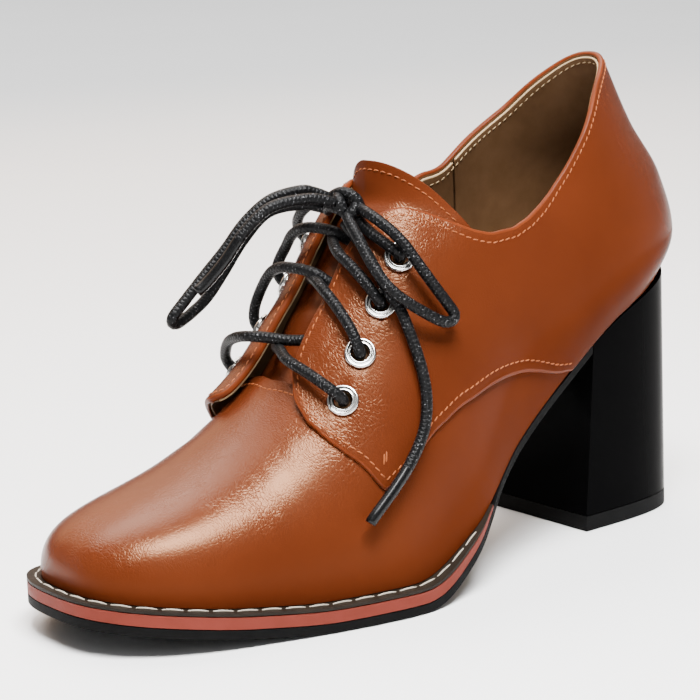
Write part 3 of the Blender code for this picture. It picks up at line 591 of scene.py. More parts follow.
def plain(name, colour, second, roughness, scale, depth, specular=0.25, metallic=0.0):
    """A moulded or woven surface: two close colours, with fine relief."""
    made, tree, shader = new_material(name)
    place = tree.nodes.new("ShaderNodeTexCoord").outputs["Object"]
    mixed = ramp(tree, noise(tree, place, scale * 0.12, detail=4.0), ((0.35, second), (0.65, colour)))
    tree.links.new(mixed, shader.inputs["Base Color"])
    fine = noise(tree, place, scale, detail=3.0)
    gloss = value_range(tree, fine, roughness - 0.05, roughness + 0.05, 0.35, 0.65)
    tree.links.new(gloss, shader.inputs["Roughness"])
    tree.links.new(bump(tree, fine, depth, 0.6), shader.inputs["Normal"])
    shader.inputs["Metallic"].default_value = metallic
    shader.inputs["Specular IOR Level"].default_value = specular
    return made


# The lace's braid: millimetres for one turn, strands around, and the grain of its pale flecks, which are
# painted glints on the raised strands along with pale fibre
BRAID_PITCH, BRAID_STRANDS, GLINT_FLECK_SCALE = 1.25, 5, 1700.0


def lace_cord():
    """A waxed braid: two sets of slanted strands around the cord, with pale flecks painted on the raised
    strands as glints and pale fibre.
    """
    made, tree, shader = new_material("lace_cord")
    uv = tree.nodes.new("ShaderNodeTexCoord").outputs["UV"]
    parts = tree.nodes.new("ShaderNodeSeparateXYZ")
    tree.links.new(uv, parts.inputs["Vector"])
    along = math_node(tree, "MULTIPLY", parts.outputs["X"], 2 * math.pi / BRAID_PITCH)
    around = math_node(tree, "MULTIPLY", parts.outputs["Y"], 2 * math.pi * BRAID_STRANDS)
    one = math_node(tree, "SINE", math_node(tree, "ADD", along, around))
    other = math_node(tree, "SINE", math_node(tree, "SUBTRACT", along, around))
    braid = math_node(tree, "MAXIMUM", one, other)
    place = tree.nodes.new("ShaderNodeTexCoord").outputs["Object"]
    glint_flecks = noise(tree, place, GLINT_FLECK_SCALE)
    height = math_node(tree, "MULTIPLY_ADD", glint_flecks, 0.6)
    tree.links.new(braid, height.node.inputs[2])
    tree.links.new(bump(tree, height, 0.07, 0.8), shader.inputs["Normal"])
    # Pale flecks where the strands rise: painted glints, along with pale fibre
    tone = math_node(tree, "MULTIPLY", glint_flecks, value_range(tree, braid, 0.4, 1.0, -0.2, 1.0))
    black, charcoal, glint_fleck = (0.0030, 0.0030, 0.0032), (0.0042, 0.0042, 0.0046), (0.20, 0.20, 0.21)
    colours = ramp(tree, tone, ((0.34, black), (0.58, charcoal), (0.72, glint_fleck)))
    tree.links.new(colours, shader.inputs["Base Color"])
    shader.inputs["Roughness"].default_value = 0.40
    shader.inputs["Specular IOR Level"].default_value = 0.09
    return made


LEATHER = leather("upper_leather", (0.091, 0.0193, 0.0060), (0.042, 0.0074, 0.0022), 0.27, 0.045)
TONGUE_LEATHER = leather("tongue_leather", (0.094, 0.0200, 0.0064), (0.044, 0.0078, 0.0024), 0.27, 0.03)
EDGE_LEATHER = plain("leather_edge", (0.11, 0.022, 0.006), (0.088, 0.017, 0.0046),
                     0.34, 900.0, 0.01, specular=0.06)
LINING = plain("lining", (0.098, 0.051, 0.024), (0.084, 0.043, 0.019), 0.6, 1400.0, 0.03, specular=0.1)
LINING_EDGE = plain("lining_edge", (0.40, 0.28, 0.155), (0.35, 0.24, 0.13), 0.6, 1500.0, 0.03)
SOCK = plain("insole_sock", (0.25, 0.18, 0.105), (0.22, 0.16, 0.09), 0.55, 1200.0, 0.05)
WELT = plain("welt", (0.014, 0.010, 0.007), (0.010, 0.007, 0.005), 0.5, 1500.0, 0.05, specular=0.08)
MIDSOLE = plain("midsole", (0.135, 0.022, 0.014), (0.118, 0.019, 0.011), 0.55, 1400.0, 0.04, specular=0.1)
OUTSOLE = plain("outsole", (0.0034, 0.0033, 0.0033), (0.0025, 0.0024, 0.0024),
                0.6, 1600.0, 0.05, specular=0.04)
HEEL = plain("heel", (0.0012, 0.0012, 0.0013), (0.0010, 0.0010, 0.0011), 0.16, 260.0, 0.002, specular=0.005)
TOP_PIECE = plain("top_piece", (0.0034, 0.0034, 0.0034), (0.0025, 0.0025, 0.0025),
                  0.6, 1500.0, 0.05, specular=0.04)
STEEL = plain("eyelet", (0.74, 0.73, 0.70), (0.70, 0.69, 0.67), 0.17, 90.0, 0.002, metallic=1.0)
THREAD = plain("thread", (0.27, 0.070, 0.016), (0.20, 0.048, 0.010), 0.6, 3000.0, 0.02)
LINING_THREAD = plain("lining_thread", (0.30, 0.21, 0.11), (0.25, 0.17, 0.09), 0.6, 3000.0, 0.02)
WELT_THREAD = plain("welt_thread", (0.36, 0.32, 0.26), (0.28, 0.24, 0.19), 0.6, 3000.0, 0.02)
LACE = lace_cord()
LACE_TIP = plain("lace_tip", (0.0034, 0.0034, 0.0036), (0.0026, 0.0026, 0.0028),
                 0.25, 700.0, 0.01, specular=0.16)


# Upper

# Soft folds across the vamp where the foot bends: across runs from -1 (outer edge) to 1 (inner edge)
CREASES = (
    (-62.0, -0.40, 10.0, 0.30, 3.2, 0.14),
    (-55.0, -0.46, 12.0, 0.30, 2.8, 0.16),
    (-48.5, -0.50, 10.0, 0.24, 2.4, 0.12),
    (-58.0, 0.42, 12.0, 0.30, 3.0, 0.15),
    (-50.5, 0.50, 12.0, 0.26, 2.6, 0.13),
)


def creases(x, side, share):
    """The depth of the vamp's soft folds, with a low ridge in front of each."""
    across = np.asarray(side) * (1 - np.asarray(share, float))
    total = np.zeros(np.broadcast(x, across).shape)
    for line_x, line_across, bend, reach, width, depth in CREASES:
        away = (across - line_across) / reach
        window = np.exp(-(away**2) * 1.6)
        ahead = (np.asarray(x) - line_x - bend * (across - line_across) ** 2 / reach) / width
        total += window * depth * (0.6 * np.exp(-((ahead + 1.7) ** 2)) - np.exp(-(ahead**2)))
    return total


VAMP_CELLS, VAMP_TOE_ROWS = 56, 44
VAMP_TAIL_X, VAMP_STEP_FRONT, VAMP_STEP_BACK = -39.4, 1.1, 1.5


def make_vamp():
    """The vamp from the toe to its tails under the quarter."""
    stations = toe_stations(VAMP_TOE_ROWS) + spread(TOE_X + TOE_CAP, VAMP_TOP[0][0], VAMP_STEP_FRONT)
    stations = np.array(stations + spread(VAMP_TAIL_X, VAMP_TOP[-1][0], VAMP_STEP_BACK))
    outer, inner, faces = [], [], []
    top = monotone(np.maximum(stations, VAMP_TOP[0][0]), VAMP_TOP, "top", VAMP_COLUMNS)
    for side in (LATERAL, MEDIAL):
        faces += grid_faces(len(stations), VAMP_CELLS + 1, sum(len(o) for o in outer))
        share = top[:, None] * np.arange(VAMP_CELLS + 1)[None, :] / VAMP_CELLS
        x = np.broadcast_to(stations[:, None], share.shape)
        fold = creases(x, side, share)
        outer.append(off_last(x, side, share, VAMP_WALL[1] + fold).reshape(-1, 3))
        inner.append(off_last(x, side, share, np.full(x.shape, VAMP_WALL[0])).reshape(-1, 3))
    outer, inner = np.concatenate(outer), np.concatenate(inner)
    half = len(outer) // 2
    ridge = np.flatnonzero(np.abs(top - 1.0) < 1e-9) * (VAMP_CELLS + 1) + VAMP_CELLS
    for sheet in (outer, inner):
        sheet[ridge] = (sheet[ridge] + sheet[ridge + half]) / 2
        sheet[ridge + half] = sheet[ridge]
    tip = np.flatnonzero(np.abs(np.concatenate((stations, stations)) - TOE_X) < 1e-9)
    for row in tip:
        outer[row * (VAMP_CELLS + 1):(row + 1) * (VAMP_CELLS + 1)] = outer[0]
    points, faces, parts = thicken(outer, inner, faces)
    made = mesh_object("vamp", points, faces, (LEATHER, LINING, LINING), parts, 50)
    return add_piece(made, "upper_leather", "upper")


# The quarter is laid out flat before it is wrapped round the last: u runs along it and v across
QUARTER_HEIGHT = 72.0
QUARTER_ROUND_SHARE = 0.4
EDGE_ROUND = 0.55
QUARTER_LATTICE, QUARTER_EDGE_STEP = 1.5, 1.0
HOLE_POINTS = 20


def quarter_lengths():
    """Stations along each side and their length along the quarter, ending at the back seam."""
    table = {}
    for side in (LATERAL, MEDIAL):
        start = QUARTER[side][0][0]
        xs = np.array(spread(start, HEEL_X - HEEL_CAP, 0.5)[:-1] + heel_stations(120))
        line = last_point(xs, side, QUARTER_ROUND_SHARE)[:, :2]
        steps = np.linalg.norm(np.diff(line, axis=0), axis=1)
        table[side] = (xs, np.concatenate(([0], np.cumsum(steps))))
    return table


QUARTER_LENGTHS = quarter_lengths()
LATERAL_LENGTH = QUARTER_LENGTHS[LATERAL][1][-1]
MEDIAL_LENGTH = QUARTER_LENGTHS[MEDIAL][1][-1]


def quarter_u(x, side):
    xs, lengths = QUARTER_LENGTHS[side]
    along = np.interp(x, xs, lengths)
    return along if side == LATERAL else LATERAL_LENGTH + MEDIAL_LENGTH - along


def quarter_place(u, v):
    """The station, side and share of a place on the flat quarter."""
    u = np.asarray(u, float)
    side = np.where(u <= LATERAL_LENGTH, LATERAL, MEDIAL)
    lateral_x, lateral_length = QUARTER_LENGTHS[LATERAL]
    medial_x, medial_length = QUARTER_LENGTHS[MEDIAL]
    lateral = np.interp(u, lateral_length, lateral_x)
    medial = np.interp(LATERAL_LENGTH + MEDIAL_LENGTH - u, medial_length, medial_x)
    return np.where(side == LATERAL, lateral, medial), side, np.asarray(v, float) / QUARTER_HEIGHT


def quarter_point(uv, height):
    uv = np.asarray(uv, float)
    x, side, share = quarter_place(uv[:, 0], uv[:, 1])
    return off_last(x, side, share, lift(x, side, share) + height)


def quarter_curve(column):
    """The lower or upper edge of the flat quarter from the outer facing round to the inner one."""
    parts = []
    for side in (LATERAL, MEDIAL):
        xs = np.array(spread(QUARTER[side][0][0], HEEL_X - HEEL_CAP, 0.25)[:-1] + heel_stations(60))
        curve = np.stack((quarter_u(xs, side), quarter_edge(xs, side, column) * QUARTER_HEIGHT), axis=1)
        parts.append(curve if side == LATERAL else curve[::-1][1:])
    return np.concatenate(parts)


def inset(loop, distance):
    """A closed loop of flat points moved inward, for a loop that runs anticlockwise."""
    ahead = np.roll(loop, -1, axis=0) - np.roll(loop, 1, axis=0)
    ahead /= np.linalg.norm(ahead, axis=1, keepdims=True)
    return loop + distance * np.stack((-ahead[:, 1], ahead[:, 0]), axis=1)


def inside_loop(points, loop):
    """Which flat points lie inside a closed loop."""
    x, y = points[:, 0][:, None], points[:, 1][:, None]
    x0, y0 = loop[:, 0][None], loop[:, 1][None]
    x1, y1 = np.roll(loop[:, 0], -1)[None], np.roll(loop[:, 1], -1)[None]
    spans = (y0 > y) != (y1 > y)
    slope = np.where(y1 == y0, 1.0, y1 - y0)
    crosses = spans & (x < (x1 - x0) * (y - y0) / slope + x0)
    return crosses.sum(axis=1) % 2 == 1


def flat_fill(loops, lattice, keep_off):
    """Triangles over the area inside the first loop and outside the others."""
    outline = loops[0]
    low, high = outline.min(axis=0), outline.max(axis=0)
    columns, rows = (np.arange(low[k], high[k], lattice) for k in (0, 1))
    grid = np.stack(np.meshgrid(columns, rows), axis=-1).reshape(-1, 2)
    grid = grid[inside_loop(grid, outline)]
    for hole in loops[1:]:
        grid = grid[~inside_loop(grid, hole)]
    rim = np.concatenate(loops)
    near = np.array([((rim - p) ** 2).sum(axis=1).min() for p in grid])
    grid = grid[near > keep_off**2]
    points = np.concatenate((rim, grid))
    edges, start = [], 0
    for loop in loops:
        count = len(loop)
        edges += [(start + k, start + (k + 1) % count) for k in range(count)]
        start += count
    found = delaunay_2d_cdt([Vector(p) for p in points], edges, [], 0, 1e-5)
    flat = np.array([tuple(p) for p in found[0]])
    faces = np.array([list(f) for f in found[2]])
    middle = flat[faces].mean(axis=1)
    keep = inside_loop(middle, outline)
    for hole in loops[1:]:
        keep &= ~inside_loop(middle, hole)
    return flat, faces[keep]


def leather_panel(name, loops, surface, wall, finishes, lattice, edge_round=EDGE_ROUND, rim=None):
    """A panel of leather cut along flat loops, with rounded edges, laid on a surface.

    Edges take the third finish, or only those where rim is true for the first loop's points.
    """
    round_in = [inset(loop, edge_round) for loop in loops]
    flat, faces = flat_fill(round_in, lattice, lattice * 0.55)
    count = len(flat)
    outer, inner = surface(flat, wall[1]), surface(flat, wall[0])
    points = [outer, inner]
    all_faces = [list(f) for f in faces] + [[k + count for k in reversed(f)] for f in faces.tolist()]
    parts = [0] * len(faces) + [1] * len(faces)
    middle, half = (wall[0] + wall[1]) / 2, (wall[1] - wall[0]) / 2
    turns = np.linspace(0, math.pi, 7)[1:-1]
    start, total = 0, 2 * count
    for loop, ring in zip(loops, round_in):
        size = len(loop)
        rows = [np.arange(start, start + size)]
        for turn in turns:
            place = ring + (loop - ring) * math.sin(turn)
            points.append(surface(place, middle + half * math.cos(turn)))
            rows.append(np.arange(total, total + size))
            total += size
        rows.append(np.arange(start, start + size) + count)
        for upper_row, lower_row in zip(rows, rows[1:]):
            for k in range(size):
                after = (k + 1) % size
                all_faces.append([upper_row[after], upper_row[k], lower_row[k], lower_row[after]])
                parts.append(2 if rim is None or rim[k] else 0)
        start += size
    return mesh_object(name, np.concatenate(points), all_faces, finishes, parts)


def eyelet_flat(row, side):
    return np.array((quarter_u(row[0], side), row[1] * QUARTER_HEIGHT))


def quarter_outline():
    lower, upper = quarter_curve("lower"), quarter_curve("upper")
    loop = np.concatenate((lower, upper[::-1]))
    return even_route(np.concatenate((loop, loop[:1])), QUARTER_EDGE_STEP)[:-1]


def make_quarter():
    """The quarter: one panel from the outer facing round the heel to the inner facing, with eyelet holes."""
    loops = [quarter_outline()]
    turns = np.arange(HOLE_POINTS) / HOLE_POINTS * 2 * math.pi
    for side in (LATERAL, MEDIAL):
        for row in EYELETS:
            middle = eyelet_flat(row, side)
            steps = middle + np.array(((-1.0, 0.0), (1.0, 0.0), (0.0, -1.0), (0.0, 1.0)))
            left, right, low, high = quarter_point(steps, QUARTER_WALL[1])
            stretch = np.array((np.linalg.norm(right - left), np.linalg.norm(high - low))) / 2
            loops.append(middle + np.stack((np.cos(turns), -np.sin(turns)), axis=1) * QUARTER_HOLE / stretch)
    finishes = (LEATHER, LINING, EDGE_LEATHER)
    made = leather_panel("quarter", loops, quarter_point, QUARTER_WALL, finishes, QUARTER_LATTICE)
    return add_piece(made, "upper_leather")


def frame_at(point, along, up, side):
    """A frame on a surface, its z axis pointing out of it."""
    normal = np.cross(along, up) * (-side)
    turn = Vector(normal).to_track_quat("Z", "Y").to_matrix().to_4x4()
    return Matrix.Translation(Vector(to_metres(point))) @ turn


def quarter_face(x, side, share):
    x, share = np.array([x], float), np.array([share], float)
    return off_last(x, side, share, QUARTER_WALL[1] + lift(x, side, share))[0]


# Radii and heights over the leather of a ring's upper side: inner lip, groove and outer rim
EYELET_TOP = (
    (2.55, 0.55),
    (2.62, 0.95),
    (2.85, 1.22),
    (3.15, 1.22),
    (3.36, 1.02),
    (3.46, 0.84),
    (3.58, 0.84),
    (3.70, 1.00),
    (3.95, 1.12),
    (4.25, 1.06),
    (4.48, 0.82),
    (4.60, 0.50),
)


def make_eyelets():
    """Turned steel rings with an inner lip and a rolled outer rim."""
    low = -(QUARTER_WALL[1] - QUARTER_WALL[0]) - GAP
    profile = [(EYELET_HOLE, low)] + list(EYELET_TOP)
    profile += [(EYELET_FLANGE, GAP), (EYELET_BARREL, GAP), (EYELET_BARREL, low)]
    segments, count = 48, len(profile)
    for side, word in SIDES:
        for number, (x, share) in enumerate(EYELETS, 1):
            along = quarter_face(x + 1.5, side, share) - quarter_face(x - 1.5, side, share)
            up = quarter_face(x, side, share + 0.04) - quarter_face(x, side, share - 0.04)
            place = frame_at(quarter_face(x, side, share), along, up, side)
            points, faces = [], []
            for k in range(segments):
                angle = 2 * math.pi * k / segments
                points += [(r * math.cos(angle), r * math.sin(angle), h) for r, h in profile]
                there = (k + 1) % segments * count
                for j in range(count):
                    after = (j + 1) % count
                    faces.append((k * count + j, there + j, there + after, k * count + after))
            made = mesh_object(f"ring_{word}_{number}", np.array(points) + CENTRE, faces, STEEL, None, 60)
            made.data.transform(place)
            add_piece(made, "eyelet", f"eyelet_{word}_{number}")


# Stitches

def stitches(name, route, normals, spacing, length, radius, finish, slot, sink=0.3, slant=0.0):
    """A row of stitches along a route of points with the surface's normals."""
    steps = np.linalg.norm(np.diff(route, axis=0), axis=1)
    lengths = np.concatenate(([0], np.cumsum(steps)))
    count = int(lengths[-1] / spacing)
    centres = (np.arange(count) + 0.5) * lengths[-1] / count
    shape_along = np.array((-0.5, -0.42, -0.2, 0.0, 0.2, 0.42, 0.5))
    shape_up = np.array((-0.9, -0.1, 0.45, 0.6, 0.45, -0.1, -0.9)) * radius
    shape_thick = np.array((0.35, 0.8, 1.0, 1.0, 1.0, 0.8, 0.35)) * radius
    around = 6
    turns = np.arange(around) / around * 2 * math.pi
    points, faces = [], []
    for centre in centres:
        places = np.clip(centre + shape_along * length, 0, lengths[-1])
        line = np.stack([np.interp(places, lengths, route[:, k]) for k in range(3)], axis=1)
        normal = np.array([np.interp(centre, lengths, normals[:, k]) for k in range(3)])
        normal /= np.linalg.norm(normal)
        ahead = line[-1] - line[0]
        ahead /= np.linalg.norm(ahead)
        across = np.cross(normal, ahead)
        line = line + normal * (shape_up - sink * radius)[:, None] + across * (shape_along * slant)[:, None]
        base = len(points) * around
        for spot, thick in zip(line, shape_thick):
            points.append(spot + thick * (np.cos(turns)[:, None] * across + np.sin(turns)[:, None] * normal))
        faces += tube_faces(len(shape_along), around, base)
    made = mesh_object(name, np.concatenate(points), faces, finish)
    return add_piece(made, slot)


def surface_normals(surface, flat, height):
    return surface(flat, height + 0.5) - surface(flat, height)


EDGE_STITCH_IN = 1.8
# Pitch, length and thread radius of the sewing
STITCH = (2.3, 1.9, 0.22)
STITCH_SLANT = 0.3
# The seam's row ends at the waist, and the shortest row kept has this many points
SEAM_END_X, SEAM_SHARE, BOTTOM_SHARE, SHORTEST_ROW = 48.5, 0.25, 0.03, 8
# The lining's row: its distance below the collar's edge and where it starts
COLLAR_STITCH_IN, COLLAR_START_X, COLLAR_SHARE = 3.0, -4.0, 0.1


def make_upper_stitches():
    """The rows along the facings and collar, and along the seams where the quarter is sewn on."""
    outline = quarter_outline()
    row = inset(outline, EDGE_STITCH_IN)
    x, _, share = quarter_place(row[:, 0], row[:, 1])
    past_seam = (x > SEAM_END_X) & (share < SEAM_SHARE)
    kept = np.flatnonzero((share >= BOTTOM_SHARE) & ~past_seam)
    runs = np.split(kept, np.flatnonzero(np.diff(kept) > 1) + 1)
    for number, run in enumerate(runs, 1):
        if len(run) < SHORTEST_ROW:
            continue
        flat = row[run]
        route = quarter_point(flat, QUARTER_WALL[1])
        normals = surface_normals(quarter_point, flat, QUARTER_WALL[1])
        stitches(f"upper_stitches_{number}", route, normals, *STITCH, THREAD, "upper_leather",
                 slant=STITCH_SLANT)
    collar = inset(outline, COLLAR_STITCH_IN)
    x, side, share = quarter_place(collar[:, 0], collar[:, 1])
    upper = quarter_edge(x, side, "upper")
    flat = collar[(upper - share < COLLAR_SHARE) & (x > COLLAR_START_X)]
    inner_height = QUARTER_WALL[0] - LINING_THICK - 0.05
    route = quarter_point(flat, inner_height)
    normals = -surface_normals(quarter_point, flat, inner_height)
    stitches("collar_lining_stitches", route, normals, *STITCH, LINING_THREAD, "insole_sock",
             slant=STITCH_SLANT)


THROAT_STITCH_X, THROAT_SPREAD, THROAT_SLOPE = -42.4, 0.26, 9.0
# Bar tacks close the lower end of each facing: (x, share) of the top and of the foot
BAR_TACK = ((-29.6, 0.374), (-30.6, 0.346))
BAR_TACK_APART, BAR_TACK_RADIUS = 0.8, 0.26


def make_throat_stitches():
    """The row across the vamp's throat, and the bar tacks at the foot of the facings."""
    across = np.linspace(-THROAT_SPREAD, THROAT_SPREAD, 60)
    side = np.where(across < 0, LATERAL, MEDIAL)
    x = THROAT_STITCH_X + THROAT_SLOPE * np.abs(across)
    share = 1 - np.abs(across)
    route = off_last(x, side, share, np.zeros(x.shape))
    normals = off_last(x, side, share, np.ones(x.shape)) - route
    stitches("throat_stitches", route, normals, *STITCH, THREAD, "upper_leather", slant=STITCH_SLANT)
    for side, word in SIDES:
        for number, shift in enumerate((0.0, BAR_TACK_APART), 1):
            ends = np.array([(quarter_u(x, side), share * QUARTER_HEIGHT) for x, share in BAR_TACK])
            flat = ends[0] + (ends[1] - ends[0]) * np.linspace(0, 1, 9)[:, None] + np.array((shift, 0.0))
            route = quarter_point(flat, QUARTER_WALL[1])
            normals = surface_normals(quarter_point, flat, QUARTER_WALL[1])
            length = np.linalg.norm(route[-1] - route[0])
            stitches(f"bar_tack_{word}_{number}", route, normals, length, length * 0.95, BAR_TACK_RADIUS,
                     THREAD, "upper_leather")


LINING_THICK = 0.7
LINING_BELOW_EDGE, LINING_ABOVE_FOOT, LINING_NARROWEST = 1.1, 2.2, 4.0
LINING_LATTICE, LINING_EDGE_STEP, LINING_RIM, LINING_OFF = 2.2, 1.2, 0.3, 0.1
LINING_SEAM_X, LINING_SEAM_GAP, LINING_ROUND = 53.0, 0.3, 0.35


def make_lining():
    """The quarter's lining in three panels, its upper edge just below the collar."""
    lower, upper = quarter_curve("lower"), quarter_curve("upper")
    lower = lower + np.array((0.0, LINING_ABOVE_FOOT))
    upper = upper - np.array((0.0, LINING_BELOW_EDGE))
    wide = upper[:, 1] - lower[:, 1] > LINING_NARROWEST
    lower, upper = lower[wide], upper[wide]
    seams = [quarter_u(LINING_SEAM_X, side) for side in (LATERAL, MEDIAL)]
    wall = (QUARTER_WALL[0] - LINING_OFF - LINING_THICK, QUARTER_WALL[0] - LINING_OFF)
    spans = (("lateral", -math.inf, seams[0]), ("back", *seams), ("medial", seams[1], math.inf))
    for word, start, end in spans:
        keep = (lower[:, 0] > start + LINING_SEAM_GAP) & (lower[:, 0] < end - LINING_SEAM_GAP)
        loop = np.concatenate((lower[keep], upper[keep][::-1]))
        loop = even_route(np.concatenate((loop, loop[:1])), LINING_EDGE_STEP)[:-1]
        rim = loop[:, 1] > np.interp(loop[:, 0], upper[:, 0], upper[:, 1]) - LINING_RIM
        finishes = (LINING, LINING, LINING_EDGE)
        made = leather_panel(f"quarter_lining_{word}", [loop], quarter_point, wall, finishes, LINING_LATTICE,
                             LINING_ROUND, rim)
        add_piece(made, "insole_sock")


# Tongue

def tongue_surface(along, across, depth):
    """Points of the tongue: along runs from its foot to its top, across from -1 to 1."""
    width = TONGUE_FOOT_SPREAD + (TONGUE_TOP_SPREAD - TONGUE_FOOT_SPREAD) * along**TONGUE_FLARE
    side = np.where(across < 0, LATERAL, MEDIAL)
    top = TONGUE_TOP_X + (TONGUE_EAR_X - TONGUE_TOP_X) * np.abs(across) ** TONGUE_TOP_CURVE
    top = top + TONGUE_CORNER * smooth_step(across, *TONGUE_CORNER_SPAN)
    x = TONGUE_FOOT_X + (top - TONGUE_FOOT_X) * along
    share = 1 - width * np.abs(across)
    span = np.where(across < 0, TONGUE_CREST_SPAN[LATERAL], TONGUE_CREST_SPAN[MEDIAL])
    fade = np.maximum(1 - (across / span) ** 2, 0.0) ** 2
    crest = monotone(along, TONGUE_OFFSET, "crest", TONGUE_COLUMNS) * fade
    height = monotone(along, TONGUE_OFFSET, "outer", TONGUE_COLUMNS) + crest
    return off_last(x, side, share, height - depth)


TONGUE_ROWS, TONGUE_PLACES, TONGUE_BEVEL = 72, 73, 0.5
TONGUE_STITCH_ALONG, TONGUE_STITCH_ACROSS = 0.968, 0.97


def make_tongue():
    rows, columns = TONGUE_ROWS, TONGUE_PLACES
    along, across = np.meshgrid(np.linspace(0, 1, rows), np.linspace(-1, 1, columns), indexing="ij")
    outer = tongue_surface(along, across, 0.0).reshape(-1, 3)
    inner = tongue_surface(along, across, TONGUE_THICK).reshape(-1, 3)
    points, faces, parts = thicken(outer, inner, grid_faces(rows, columns))
    made = mesh_object("tongue_flap", points, faces, (TONGUE_LEATHER, LINING, TONGUE_LEATHER), parts, 50)
    bevelled(made, TONGUE_BEVEL, 3, 60)
    add_piece(made, "tongue_leather", "tongue")
    line_across = np.linspace(-TONGUE_STITCH_ACROSS, TONGUE_STITCH_ACROSS, 160)
    line_along = np.full(line_across.shape, TONGUE_STITCH_ALONG)
    route = tongue_surface(line_along, line_across, 0.0)
    normals = tongue_surface(line_along, line_across, -0.5) - route
    stitches("tongue_stitches", route, normals, *STITCH, THREAD, "tongue_leather", slant=STITCH_SLANT)


# Sole and heel

def outline(stations, offset):
    """The feather line in plan, moved outward by offset(x): rows of (lateral, medial) points."""
    rows = []
    for x in stations:
        pair = []
        for side in (LATERAL, MEDIAL):
            here = last_point(x, side, 0.0)
            if x in (TOE_X, HEEL_X):
                outward = np.array((-1.0 if x == TOE_X else 1.0, 0.0))
            else:
                ahead = last_point(min(x + 0.05, HEEL_X), side, 0.0) - last_point(x - 0.05, side, 0.0)
                outward = np.array((-ahead[1], ahead[0])) * side
                outward = outward / np.linalg.norm(outward)
            pair.append(here[:2] + offset(x) * outward)
        rows.append(pair)
    return rows


def feather(x):
    return section(x, "feather")


def overhang(x):
    return monotone(x, SOLE, "overhang", SOLE_COLUMNS)


def layers(x):
    return monotone(x, SOLE, "layers", SOLE_COLUMNS)


def outsole_top(x):
    return feather(x) - GAP - layers(x)


def outsole_bottom(x):
    return outsole_top(x) - OUTSOLE_THICK


def midsole_bottom(x):
    return outsole_top(x) + GAP


def midsole_top(x):
    return midsole_bottom(x) + MIDSOLE_SHARE * (layers(x) - GAP)


def plate(name, rows, top, bottom, finish, bevel):
    """A plate between two heights that depend on x, over rows of (lateral, medial) points."""
    flat = np.array(rows).reshape(-1, 2)
    upper_face = np.column_stack((flat, top(flat[:, 0])))
    lower_face = np.column_stack((flat, bottom(flat[:, 0])))
    points, faces, _ = thicken(upper_face, lower_face, grid_faces(len(rows), 2))
    return bevelled(mesh_object(name, points, faces, finish, None, 50), bevel)


SOLE_TOE_ROWS, SOLE_STEP = 36, 1.6
TREAD_BEVEL, MIDSOLE_BEVEL, SOLE_BEVEL, LIFT_BEVEL, HEEL_BEVEL = 0.35, 0.12, 0.3, 0.4, 0.45
# Pitch, length and thread radius of the welt's sewing, and where it stops
WELT_STITCH, WELT_STITCH_END_X = (7.0, 6.6, 0.30), 1.0


def make_sole():
    toe = toe_stations(SOLE_TOE_ROWS)
    shank = toe + spread(TOE_X + TOE_CAP, SHANK_END_X, SOLE_STEP)
    made = plate("sole_tread", outline(shank, overhang), outsole_top, outsole_bottom, OUTSOLE, TREAD_BEVEL)
    add_piece(made, "outsole", "outsole")
    front = toe + spread(TOE_X + TOE_CAP, WELT_END_X, SOLE_STEP)
    rows = outline(front, overhang)
    made = plate("sole_midlayer", rows, midsole_top, midsole_bottom, MIDSOLE, MIDSOLE_BEVEL)
    add_piece(made, "midsole", "midsole")
    inner = outline(front, lambda x: WELT_INNER)
    ring = [(rows[k][0], inner[k][0]) for k in reversed(range(len(front)))]
    ring += [(rows[k][1], inner[k][1]) for k in range(1, len(front))]
    made = plate("sole_welt", ring, lambda x: feather(x) - GAP, lambda x: midsole_top(x) + GAP,
                 WELT, SOLE_BEVEL)
    add_piece(made, "welt", "welt")
    line = outline(front, lambda x: overhang(x) * WELT_STITCH_SHARE)
    flat = np.array([pair[0] for pair in reversed(line)] + [pair[1] for pair in line[1:]])
    flat = flat[flat[:, 0] < WELT_STITCH_END_X]
    route = np.column_stack((flat, feather(flat[:, 0]) - GAP))
    normals = np.tile((0.0, 0.0, 1.0), (len(route), 1))
    stitches("welt_stitches", route, normals, *WELT_STITCH, WELT_THREAD, "welt", sink=0.1)


INSOLE_END_ROWS, INSOLE_STEP = 30, 2.0


def make_insole():
    stations = toe_stations(INSOLE_END_ROWS) + spread(TOE_X + TOE_CAP, HEEL_X - HEEL_CAP, INSOLE_STEP)
    stations += heel_stations(INSOLE_END_ROWS)[1:]
    widening = INSOLE_INSET_BACK - INSOLE_INSET_FRONT
    rows = outline(stations, lambda x: INSOLE_INSET_FRONT + widening * smooth_step(x, *INSOLE_WIDENS))
    made = plate("insole_sheet", rows, lambda x: feather(x) + GAP + INSOLE_THICK, lambda x: feather(x) + GAP,
                 SOCK, SOLE_BEVEL)
    add_piece(made, "insole_sock", "insole")


def heel_outline(form, count):
    """A flat breast and a rounded back: rows of (lateral, medial) points from breast to back."""
    turns = np.arange(count + 1) / count * math.pi / 2
    out = np.maximum(np.cos(turns), 0.0) ** (2 / form["square"])
    x = form["breast"] + (form["back"] - form["breast"]) * np.sin(turns) ** (2 / form["square"])
    lateral = np.stack((x, HEEL_Y - form["lateral"] * out), axis=1)
    medial = np.stack((x, HEEL_Y + form["medial"] * out), axis=1)
    return np.stack((lateral, medial), axis=1)


HEEL_PLACES = 48


